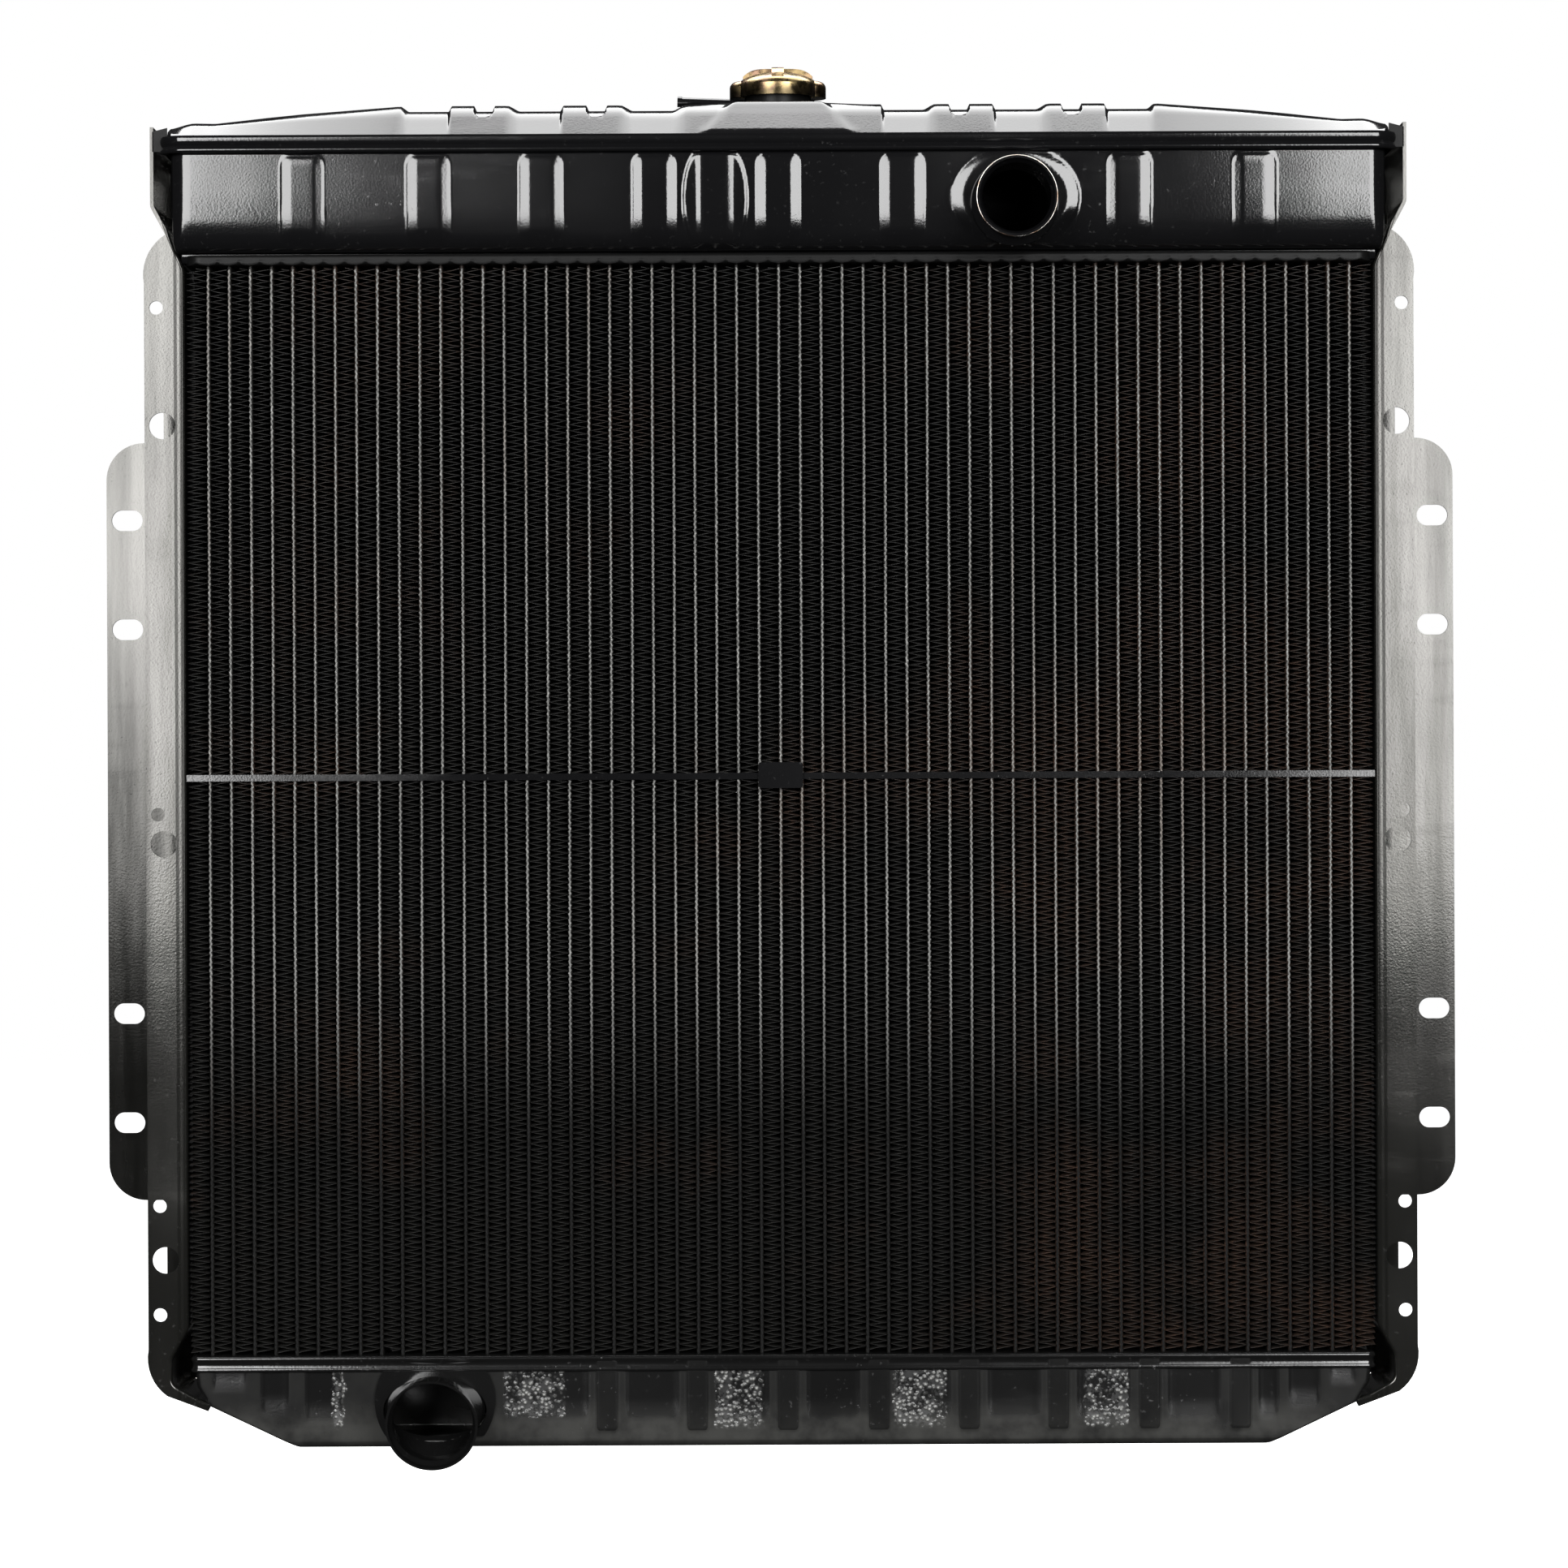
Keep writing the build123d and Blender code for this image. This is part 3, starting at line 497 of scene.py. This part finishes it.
def top_tank():
    marks = [x + side * RIB_HALF for x in RIB_X for side in (-1, 1)]
    marks += [LENS_X - 14, LENS_X + 14, INLET_X - 28, INLET_X + 30]
    straight = TANK_HALF_X - TANK_CORNER
    xs = [x / straight for x in stations(-straight, straight, 2.4, marks, 0.8, 6.0)]
    # The face rolls under slowly from ROLL_Z, then turns in on a tighter bend.
    rows = []
    for z in np.arange(TANK_TOP_Z, TANK_LOW_Z + 7.5, -1.4):
        rows.append((z, max(0.0, ROLL_Z - z) ** 2 / ROLL_SPREAD))
    start_z, start_inset = rows[-1]
    lean = 2.0 * (ROLL_Z - start_z) / ROLL_SPREAD
    first = math.atan(lean)
    radius = (start_z - TANK_LOW_Z) / (1.0 - math.sin(first))
    for i in range(1, 9):
        a = first + (math.pi / 2 - first) * i / 8
        rows.append((start_z - radius * (math.sin(a) - math.sin(first)),
                     start_inset + radius * (math.cos(first) - math.cos(a))))
    rows += [(TANK_LOW_Z, rows[-1][1] + 1.5), (TANK_LOW_Z - 4.5, rows[-1][1] + 1.5)]
    points = []
    for z, inset in rows:
        corner = max(TANK_CORNER - inset, 1.0)
        ring, normal = outline(TANK_HALF_X - 0.3 * inset, TANK_HALF_Y - inset, corner, xs)
        count = len(ring)
        level = np.full(count, z)
        out = tank_swage(ring[:, 0], level) * np.abs(normal[:, 1]) ** 4
        facing = normal[:, 1] < -0.99
        out = np.where(facing, np.maximum(out, front_swage(ring[:, 0], level)), out)
        out *= 1.0 - smooth((inset - 5.5) / 3.0)
        ring = ring + normal * out[:, None]
        points.append(np.column_stack((ring[:, 0], ring[:, 1] + CORE_Y, level)))
    points = np.concatenate(points)
    faces = grid_faces(len(rows), count, wrap=True, flip=True)
    kept = []
    for face in faces:
        middle = points[list(face)].mean(axis=0)
        bored = middle[1] < CORE_Y and math.hypot(middle[0] - INLET_X, middle[2] - INLET_Z) < 19.8
        if not bored:
            kept.append(face)
    piece = mesh_object("top_tank_skin", points, kept, TANK, replaces=["top_tank_body"])
    thicken(piece, 1.2)
    return piece


top_tank()

# ------------------------------------------------------------------ top tank, upper pressing
ROOF_HALF_X, ROOF_HALF_Y, ROOF_CORNER, ROOF_EDGE_Z = 320.6, 40.1, 10.0, 358.3
RIDGE_HALF_Y, VALLEY_Z, PAD_RISE = 23.0, 373.9, 3.0
# Raised pads across the roof: low and high edge, and how softly each edge rises.
PADS = [(-56.0, 56.0, 9.0, 1.9), (76.0, 114.7, 7.0, 1.9), (135.5, 173.5, 7.0, 1.9),
        (-114.7, -76.0, 1.9, 7.0), (-173.5, -135.5, 1.9, 7.0)]
SHOULDER_X = 194.0
CROWN_Z = 378.0             # flat seat round the filler neck
FILLER_HOLE_R = 16.7
POCKETS = [-154.5, -95.4, 95.4, 154.5]


def roof_height(x, y):
    """Height of the cover at x and at y from the core's mid-plane."""
    ax, ay = np.abs(x), np.abs(y)
    up = np.clip((ROOF_HALF_Y - ay) / (ROOF_HALF_Y - RIDGE_HALF_Y), 0.0, 2.0)
    up = soft_min(up, np.ones_like(up), 0.42)
    pad = np.zeros_like(x)
    for low, high, soft_low, soft_high in PADS:
        pad = np.maximum(pad, np.minimum(smooth((x - low) / soft_low), smooth((high - x) / soft_high)))
    pad = np.maximum(pad, smooth((ax - SHOULDER_X) / 5.0))
    for centre in POCKETS:
        side = -rounded_box(x - centre, y, 5.6, 31.0, 5.0)
        pad = np.minimum(pad, 1.0 - smooth(side / 1.5))
    ridge = VALLEY_Z - ROOF_EDGE_Z
    fall = np.interp(ax, [0, SHOULDER_X + 3, 250, 268, 296, 314, ROOF_HALF_X - 1.0, ROOF_HALF_X],
                     [0.0, 0.0, 4.0, 5.8, 9.0, 8.6, 8.6, 10.0])
    low_ridge = np.maximum(ridge - fall, 0.6)
    height = ROOF_EDGE_Z + low_ridge * up
    height += PAD_RISE * pad * smooth((ROOF_HALF_X - ax) / 14.0) * np.minimum(1.6 * up, 1.0)
    crown = np.full_like(x, CROWN_Z)
    front = CROWN_Z - (ay - 24.0) * 1.19
    flank = CROWN_Z - (ax - 25.0) * 1.15
    steep = soft_min(soft_min(crown, front, 2.4), flank, 5.0)
    wing = soft_min(CROWN_Z - (ax - 27.0) * 0.12, CROWN_Z - (ay - 20.0) * 1.1, 3.0)
    wing = wing - smooth((ax - 50.0) / 12.0) * 6.0
    block = soft_max(steep, soft_min(wing, crown, 2.0), 1.5)
    return soft_max(height, block, 1.6)


def top_cover():
    straight = ROOF_HALF_X - ROOF_CORNER
    marks = [m for pad in PADS for m in pad[:2]] + [-SHOULDER_X, SHOULDER_X]
    marks += [c + s * 5.0 for c in POCKETS for s in (-1, 1)] + [s * m for m in (25, 35, 52) for s in (-1, 1)]
    xs = [x / straight for x in stations(-straight, straight, 2.2, marks, 0.6, 3.4)]
    corner_steps, end_steps = 8, 8
    edge, normal = outline(ROOF_HALF_X, ROOF_HALF_Y, ROOF_CORNER, xs, corner_steps, end_steps)
    count = len(edge)
    points = []
    profile = [(-2.4, 349.4)]
    for middle, level, radius, first, last in ((-1.2, 351.0, 1.5, -80, 50), (-4.6, 356.4, 4.8, -38, 28)):
        for a in np.linspace(math.radians(first), math.radians(last), 7):
            profile.append((middle + radius * math.cos(a), level + radius * math.sin(a)))
    profile += [(-1.2, 358.8), (-2.2, 358.8), (-3.4, 358.3)]
    for offset, z in profile:
        ring = edge + normal * (3.4 + offset)
        points.append(np.column_stack((ring[:, 0], ring[:, 1] + CORE_Y, np.full(count, z))))
    # Roof rows: the edge ring pulled towards the long centre line in steps.
    spine = np.column_stack((np.clip(edge[:, 0], -straight, straight), np.zeros(count)))
    steps = list(np.linspace(0.0, 1.0, 32))[1:]
    for s in steps:
        ring = edge * (1 - s) + spine * s
        z = roof_height(ring[:, 0], ring[:, 1])
        points.append(np.column_stack((ring[:, 0], ring[:, 1] + CORE_Y, z)))
    rows = len(profile) + len(steps)
    faces = grid_faces(rows, count, wrap=True)
    points = np.concatenate(points)
    kept = []
    for face in faces:
        middle = points[list(face)].mean(axis=0)
        if middle[2] < 370 or math.hypot(middle[0], middle[1] - CAP_Y) > FILLER_HOLE_R:
            kept.append(face)
    piece = mesh_object("top_cover_skin", points, kept, TANK, replaces=["top_tank_cover"])
    merge_points(piece)
    thicken(piece, 1.0)
    return piece


def merge_points(piece):
    """Welds points that fall on each other along the roof's centre line."""
    weld = piece.modifiers.new("weld", "WELD")
    weld.merge_threshold = 0.02 * MM
    graph = bpy.context.evaluated_depsgraph_get()
    piece.data = bpy.data.meshes.new_from_object(piece.evaluated_get(graph))
    piece.modifiers.clear()


top_cover()


# ------------------------------------------------------------------ bottom tank
SUMP_TOP_Z, SUMP_LOW_Z, SUMP_BEND = -281.5, -328.4, 4.5
SUMP_HALF_X, SUMP_HALF_Y, SUMP_CORNER = 309.3, 32.0, 3.0
SUMP_RIB_X = [-92.4, -45.1, 2.5, 50.2, 97.5, 144.3, 192.0, 239.6]
# Recessed panels between the ribs: left edge, right edge and lower edge.
SUMP_PANELS = [(x + 8.6, x + 38.8, -318.2) for x in SUMP_RIB_X[:-1]] + [
    (-147.3, -101.0, -318.0), (-252.0, -230.5, -318.5), (-275.4, -258.3, -314.0), (-301.0, -280.5, -301.0),
    (248.1, 261.3, -318.0), (263.9, 283.0, -312.0), (285.5, 302.0, -300.0)]


def sump_relief(x, z):
    """How far the bottom tank's long faces stand out from their plane."""
    out = np.zeros_like(x)
    for centre in SUMP_RIB_X:
        edge = -rounded_box(x - centre, z + 300.0, 6.4, 21.0, 3.0)
        out = np.maximum(out, 0.9 * smooth(edge / 1.6))
    for low, high, foot in SUMP_PANELS:
        middle = (foot - 270.0) / 2
        edge = -rounded_box(x - (low + high) / 2, z - middle, (high - low) / 2, -270.0 - middle, 4.0)
        out = np.minimum(out, np.where(edge > 0, -0.7 * smooth(edge / 3.2) * smooth((z - foot) / 15.0), out))
    return out


def bottom_tank():
    fixed = 248.0
    straight = SUMP_HALF_X - SUMP_CORNER
    marks = [x + s * 5.0 for x in SUMP_RIB_X for s in (-1, 1)]
    marks += [e for panel in SUMP_PANELS for e in panel[:2]]
    xs = stations(-straight, straight, 2.2, marks, 0.8, 3.5)
    rows = [(z, 0.0) for z in np.arange(SUMP_TOP_Z, SUMP_LOW_Z + SUMP_BEND, -1.0)]
    for i in range(8):
        a = math.radians(90.0 * i / 7)
        rows.append((SUMP_LOW_Z + SUMP_BEND * (1 - math.sin(a)), SUMP_BEND * (1 - math.cos(a))))
    rows += [(SUMP_LOW_Z, 18.0), (SUMP_LOW_Z, SUMP_HALF_Y - SUMP_CORNER - 0.5)]
    points = []
    for z, inset in rows:
        half = np.interp(-z, [281.0, 296.0, 306.4, -SUMP_LOW_Z], [SUMP_HALF_X, 307.5, 301.2, 255.0])
        span = half - SUMP_CORNER
        warped = []
        for x in xs:
            beyond = max(0.0, abs(x) - fixed)
            reach = min(abs(x), fixed) + beyond * (span - fixed) / (straight - fixed)
            warped.append(math.copysign(reach, x) / span)
        flat, normal = outline(half, SUMP_HALF_Y - inset, SUMP_CORNER, warped, 4, 4)
        level = np.full(len(flat), z)
        out = sump_relief(flat[:, 0], level) * (np.abs(normal[:, 1]) > 0.99) * (1.0 - smooth(inset / 6.0))
        ring = flat + normal * out[:, None]
        points.append(np.column_stack((ring[:, 0], ring[:, 1] + CORE_Y, level)))
    count = len(points[0])
    faces = grid_faces(len(rows), count, wrap=True, flip=True)
    points = np.concatenate(points)
    kept = []
    for face in faces:
        middle = points[list(face)].mean(axis=0)
        from_neck = math.hypot((middle[0] - OUTLET_X) / 27.6, (middle[2] - OUTLET_Z) / 17.3)
        bored = middle[1] < CORE_Y and from_neck < 1
        if not bored:
            kept.append(face)
    kept += strip_faces(len(xs), 3, 4, (len(rows) - 1) * count)
    piece = mesh_object("bottom_tank_skin", points, kept, SUMP_MOTTLED,
                        replaces=["bottom_tank"])
    thicken(piece, 1.0)


def strip_faces(n, corner, end, first):
    """Closes the long gap between the front and back runs of the innermost ring."""
    back = n + corner + end + 1 + corner
    faces = []
    for i in range(n - 1):
        faces.append((first + i, first + back + n - 1 - i, first + back + n - 2 - i, first + i + 1))
    return faces


def seam_band():
    """Tube plate whose rim folds down over the bottom tank."""
    half_x, half_y, corner = 310.6, 33.1, 4.5
    xs = [s / 60.0 for s in range(-60, 61)]
    edge, normal = outline(half_x, half_y, corner, xs, 5, 5)
    profile = [(-1.6, -288.2), (-0.7, -288.7), (0.1, -288.3), (0.35, -287.5), (0.0, -286.6), (-0.5, -285.8),
               (-0.55, -284.0), (-0.1, -283.0), (0.35, -282.2), (0.3, -281.3), (-0.3, -280.5), (-1.4, -280.1),
               (-2.6, -280.0)]
    rings = []
    for offset, z in profile:
        ring = edge + normal * offset
        rings.append(np.column_stack((ring[:, 0], ring[:, 1] + CORE_Y, np.full(len(ring), z))))
    inner = np.column_stack((np.clip(edge[:, 0], -300, 300), np.sign(edge[:, 1]) * 0.4 + CORE_Y,
                             np.full(len(edge), -280.0)))
    rings.append(inner)
    count = len(edge)
    faces = grid_faces(len(rings), count, wrap=True)
    faces += strip_faces(len(xs), 4, 5, (len(rings) - 1) * count)
    piece = mesh_object("bottom_seam_band", np.concatenate(rings), faces, SUMP,
                        replaces=["bottom_header"])
    thicken(piece, 0.9)


def top_plate():
    """Top tube plate: upturned rim with a scalloped run of solder along its lower edge."""
    half_x, half_y, corner = 311.6, 30.0, 8.0
    xs = [s / 495.0 for s in range(-495, 496)]
    edge, normal = outline(half_x, half_y, corner, xs, 6, 8)
    scallop = np.abs(np.cos(math.pi * edge[:, 0] / TUBE_PITCH)) ** 0.7
    rings = []
    for offset, z, wave in ((0.0, 297.4, 0.0), (0.0, 295.6, 0.0), (0.05, 294.6, 0.2), (0.15, 293.8, 0.8),
                            (0.2, 293.0, 1.0), (0.0, 292.2, 1.0), (-0.8, 292.0, 0.5), (-2.2, 292.0, 0.0)):
        ring = edge + normal * offset
        rings.append(np.column_stack((ring[:, 0], ring[:, 1] + CORE_Y, z + wave * (1.0 - scallop) * 1.2)))
    rings.append(np.column_stack((np.clip(edge[:, 0], -300, 300), np.sign(edge[:, 1]) * 0.4 + CORE_Y,
                                  np.full(len(edge), 292.0))))
    faces = grid_faces(len(rings), len(edge), wrap=True, flip=True)
    faces += [face[::-1] for face in strip_faces(len(xs), 5, 8, (len(rings) - 1) * len(edge))]
    piece = mesh_object("top_plate_skin", np.concatenate(rings), faces, SHADE,
                        replaces=["top_header"])
    thicken(piece, 0.9)


bottom_tank()
seam_band()
top_plate()


# ------------------------------------------------------------------ small pieces
def ring_bead(name, centre, major, minor, look):
    """A thin round bead in a plane across Y."""
    around, section = 96, 10
    points = []
    for i in range(around):
        a = 2 * math.pi * i / around
        for k in range(section):
            b = 2 * math.pi * k / section
            r = major + minor * math.cos(b)
            points.append((centre[0] + r * math.cos(a), centre[1] + minor * math.sin(b),
                           centre[2] + r * math.sin(a)))
    faces = []
    for i in range(around):
        for k in range(section):
            j, m = (i + 1) % around, (k + 1) % section
            faces.append((i * section + k, j * section + k, j * section + m, i * section + m))
    return mesh_object(name, points, faces, look, crease=80.0)


def cap_spring(name, coil_r, wire, low, high, node):
    """A coil spring inside the cap, between the bodies above and below it."""
    turns, per_turn, section = 4, 32, 10
    first, last = low + 0.55 * wire, high - 0.55 * wire
    count = turns * per_turn + 1
    points = []
    for i in range(count):
        share = i / (count - 1)
        a = 2 * math.pi * turns * share
        for k in range(section):
            b = 2 * math.pi * k / section
            r = coil_r + wire / 2 * math.cos(b)
            points.append((r * math.cos(a), CAP_Y + r * math.sin(a),
                           first + (last - first) * share + wire / 2 * math.sin(b)))
    faces = grid_faces(count, section, wrap=True)
    faces += [tuple(range(section))[::-1], tuple(range((count - 1) * section, count * section))]
    made = mesh_object(name, points, faces, SPRING, body=None, replaces=[node], crease=60.0)
    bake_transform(made)
    return made


def corner_plate(name, side):
    """Top corner of a side member's outer flange, closed up to the tank's tab."""
    outline_xz = [(320.8, 352.0), (328.6, 352.0), (328.6, 362.6), (320.8, 364.6)]
    points = [(side * x, y, z) for y in (-58.0, -56.8) for x, z in outline_xz]
    faces = [(0, 1, 2, 3), (7, 6, 5, 4)] + [(k, k + 4, (k + 1) % 4 + 4, (k + 1) % 4) for k in range(4)]
    if side < 0:
        faces = [face[::-1] for face in faces]
    return mesh_object(name, points, faces, SHADE)


INLET_RIM = worn_metal("inlet_rim_metal", (0.50, 0.48, 0.45), (0.34, 0.20, 0.12), 0.2)
ring_bead("inlet_rim_bead", (INLET_X, -102.95, INLET_Z), 20.75, 0.45, INLET_RIM)
cap_spring("pressure_spring_coil", 8.0, 1.3, 377.2, 388.2, "cap_pressure_spring")
cap_spring("vacuum_spring_coil", 2.2, 0.4, 377.2, 380.2,
           "cap_vacuum_spring")
corner_plate("corner_plate_right", 1)
corner_plate("corner_plate_left", -1)


# ------------------------------------------------------------------ core
def ribbon(path, thick, front, rear):
    """A flat strip of the given thickness that follows a path in X and Z, from front to rear in Y."""
    path = np.asarray(path, float)
    n = len(path)
    along = np.gradient(path, axis=0)
    along /= np.linalg.norm(along, axis=1)[:, None]
    side = np.column_stack((-along[:, 1], along[:, 0])) * thick / 2
    rings = []
    middle = (front + rear) / 2
    for sign, y, lift in ((1, front, 0.0), (-1, front, 0.0), (-1, middle, LOUVRE_RISE),
                          (-1, rear, 0.0), (1, rear, 0.0), (1, middle, LOUVRE_RISE)):
        p = path + side * sign
        rings.append(np.column_stack((p[:, 0], np.full(n, y), np.minimum(p[:, 1] + lift, FIN_HIGH - 0.1))))
    points = np.stack(rings, axis=1).reshape(-1, 3)
    faces = grid_faces(n, 6, wrap=True, flip=True)
    last = 6 * (n - 1)
    faces += [(0, 1, 2, 5), (5, 2, 3, 4)]
    faces += [(last, last + 5, last + 2, last + 1), (last + 5, last + 4, last + 3, last + 2)]
    return points, faces


def fin_strips():
    """Folded fin strips between the tube columns, in groups of seven."""
    columns = tube_columns()
    lows = [-FIN_END_X] + [x + TUBE_THICK / 2 for x in columns]
    highs = [x - TUBE_THICK / 2 for x in columns] + [FIN_END_X]
    turns = int((FIN_HIGH - FIN_LOW) / FIN_PERIOD) + 1
    group = 7
    for g in range(0, len(lows), group):
        points, faces = [], []
        for low, high in list(zip(lows, highs))[g:g + group]:
            phase = random.uniform(0.0, FIN_PERIOD)
            drift = np.cumsum(random.normal(0.0, 0.045, turns * 2))
            drift -= np.linspace(0.0, drift[-1], turns * 2)
            path = []
            for i in range(turns * 2):
                z = FIN_LOW + 0.3 + phase * 0.2 + i * FIN_PERIOD / 2 + drift[i] + random.normal(0.0, 0.10)
                inner = 0.10
                x = low + inner if i % 2 == 0 else high - inner
                path.append((x, z))
                path.append(((low + high) / 2, z + FIN_PERIOD / 4 + random.normal(0.0, 0.16)))
            path = np.array(path)
            path = path[(path[:, 1] > FIN_LOW + 0.2) & (path[:, 1] < FIN_HIGH - 0.3)]
            p, f = ribbon(path, 0.19, CORE_FRONT + 0.05, CORE_REAR - 0.05)
            base = sum(len(q) for q in points)
            points.append(p)
            faces += [tuple(base + v for v in face) for face in f]
        name = f"fin_folds_{g // group + 1}"
        hides = ["fin_strips"] if g == 0 else []
        mesh_object(name, np.concatenate(points), faces, FIN, replaces=hides, crease=25.0)


def tube_noses(name, y_face, outward, columns):
    """Solder-covered tube edges, wavy where the fold crests meet them."""
    step = FIN_PERIOD / 4
    zs = np.arange(-284.0, 291.0, step)
    section = [(-1.0, 0.0), (-0.72, 0.62), (0.0, 0.95), (0.72, 0.62), (1.0, 0.0)]
    points, faces = [], []
    for x in columns:
        phase = random.uniform(0.0, 2 * math.pi)
        sway = 0.24 * np.sin(2 * math.pi * zs / FIN_PERIOD + phase) + random.normal(0.0, 0.05, len(zs))
        sway += 0.10 * np.sin(zs / 37.0 + phase * 3)
        width = 0.58 + 0.13 * np.cos(4 * math.pi * zs / FIN_PERIOD + phase)
        width += random.normal(0.0, 0.05, len(zs))
        base = len(points) * len(zs) * len(section)
        rings = np.empty((len(zs), len(section), 3))
        for k, (u, v) in enumerate(section):
            rings[:, k, 0] = x + sway + u * width
            rings[:, k, 1] = y_face + outward * (v - 0.95) * 1.1
            rings[:, k, 2] = zs
        points.append(rings.reshape(-1, 3))
        faces += grid_faces(len(zs), len(section), first=base, flip=outward > 0)
    return mesh_object(name, np.concatenate(points), faces, SOLDER, crease=60.0)


fin_strips()
columns = tube_columns()
for part_of in range(5):
    share = columns[part_of * 11:part_of * 11 + 11]
    tube_noses(f"tube_noses_front_{part_of + 1}", CORE_FRONT - 0.1, -1, share)
    tube_noses(f"tube_noses_rear_{part_of + 1}", CORE_REAR + 0.1, 1, share)

# ------------------------------------------------------------------ stage, lights and camera
CAMERA_AT = (0.0017, -2.656, 0.0187)
LENS = 113.6
ROLL = 0.00436
FLOOR_Z = -0.46


def stage_floor():
    half = 6.0
    mesh = bpy.data.meshes.new("floor")
    mesh.from_pydata([(-half, -half, FLOOR_Z), (half, -half, FLOOR_Z), (half, half, FLOOR_Z),
                      (-half, half, FLOOR_Z)], [], [(0, 1, 2, 3)])
    floor = bpy.data.objects.new("floor", mesh)
    bpy.context.scene.collection.objects.link(floor)
    t = Tree("floor_paper")
    t.set(Base_Color=t.colour(t.noise(3.0), (0.86, 0.86, 0.86), (0.9, 0.9, 0.9)))
    t.set(Roughness=0.9)
    t.set(Emission_Color=(1.0, 1.0, 1.0, 1.0), Emission_Strength=1.0)
    mesh.materials.append(t.material)
    floor.visible_glossy = False
    floor.visible_diffuse = False


def area_light(name, at, aim, width, height, watts):
    data = bpy.data.lights.new(name, "AREA")
    data.shape = "RECTANGLE"
    data.size = width
    data.size_y = height
    data.energy = watts
    light = bpy.data.objects.new(name, data)
    bpy.context.scene.collection.objects.link(light)
    light.location = at
    light.rotation_euler = (Vector(aim) - Vector(at)).to_track_quat("-Z", "Y").to_euler()
    light.visible_camera = False


def studio():
    world = bpy.data.worlds.new("studio")
    world.use_nodes = True
    nodes, links = world.node_tree.nodes, world.node_tree.links
    ground = nodes["Background"]
    ground.inputs["Color"].default_value = (0.5, 0.5, 0.5, 1.0)
    ground.inputs["Strength"].default_value = 0.06
    sky = nodes.new("ShaderNodeBackground")
    sky.inputs["Color"].default_value = (1.0, 1.0, 1.0, 1.0)
    sky.inputs["Strength"].default_value = 1.0
    path = nodes.new("ShaderNodeLightPath")
    mix = nodes.new("ShaderNodeMixShader")
    links.new(path.outputs["Is Camera Ray"], mix.inputs["Fac"])
    links.new(ground.outputs["Background"], mix.inputs[1])
    links.new(sky.outputs["Background"], mix.inputs[2])
    links.new(mix.outputs["Shader"], nodes["World Output"].inputs["Surface"])
    bpy.context.scene.world = world
    bpy.context.scene.view_settings.view_transform = "Standard"
    area_light("softbox_left", (-1.19, -2.66, 0.80), (-0.3, 0.0, 0.1), 1.3, 1.9, 112.0)
    area_light("softbox_right", (1.19, -2.66, 0.80), (0.3, 0.0, 0.1), 1.3, 1.9, 112.0)
    area_light("overhead", (0.0, 0.42, 1.7), (0.0, 0.1, 0.3), 2.6, 1.2, 84.0)


def photo_camera():
    data = bpy.data.cameras.new("camera")
    data.lens = LENS
    data.sensor_width = 36.0
    camera = bpy.data.objects.new("camera", data)
    camera.location = CAMERA_AT
    camera.rotation_euler = (math.pi / 2, ROLL, 0.0)
    bpy.context.scene.collection.objects.link(camera)
    bpy.context.scene.camera = camera


stage_floor()
studio()
photo_camera()
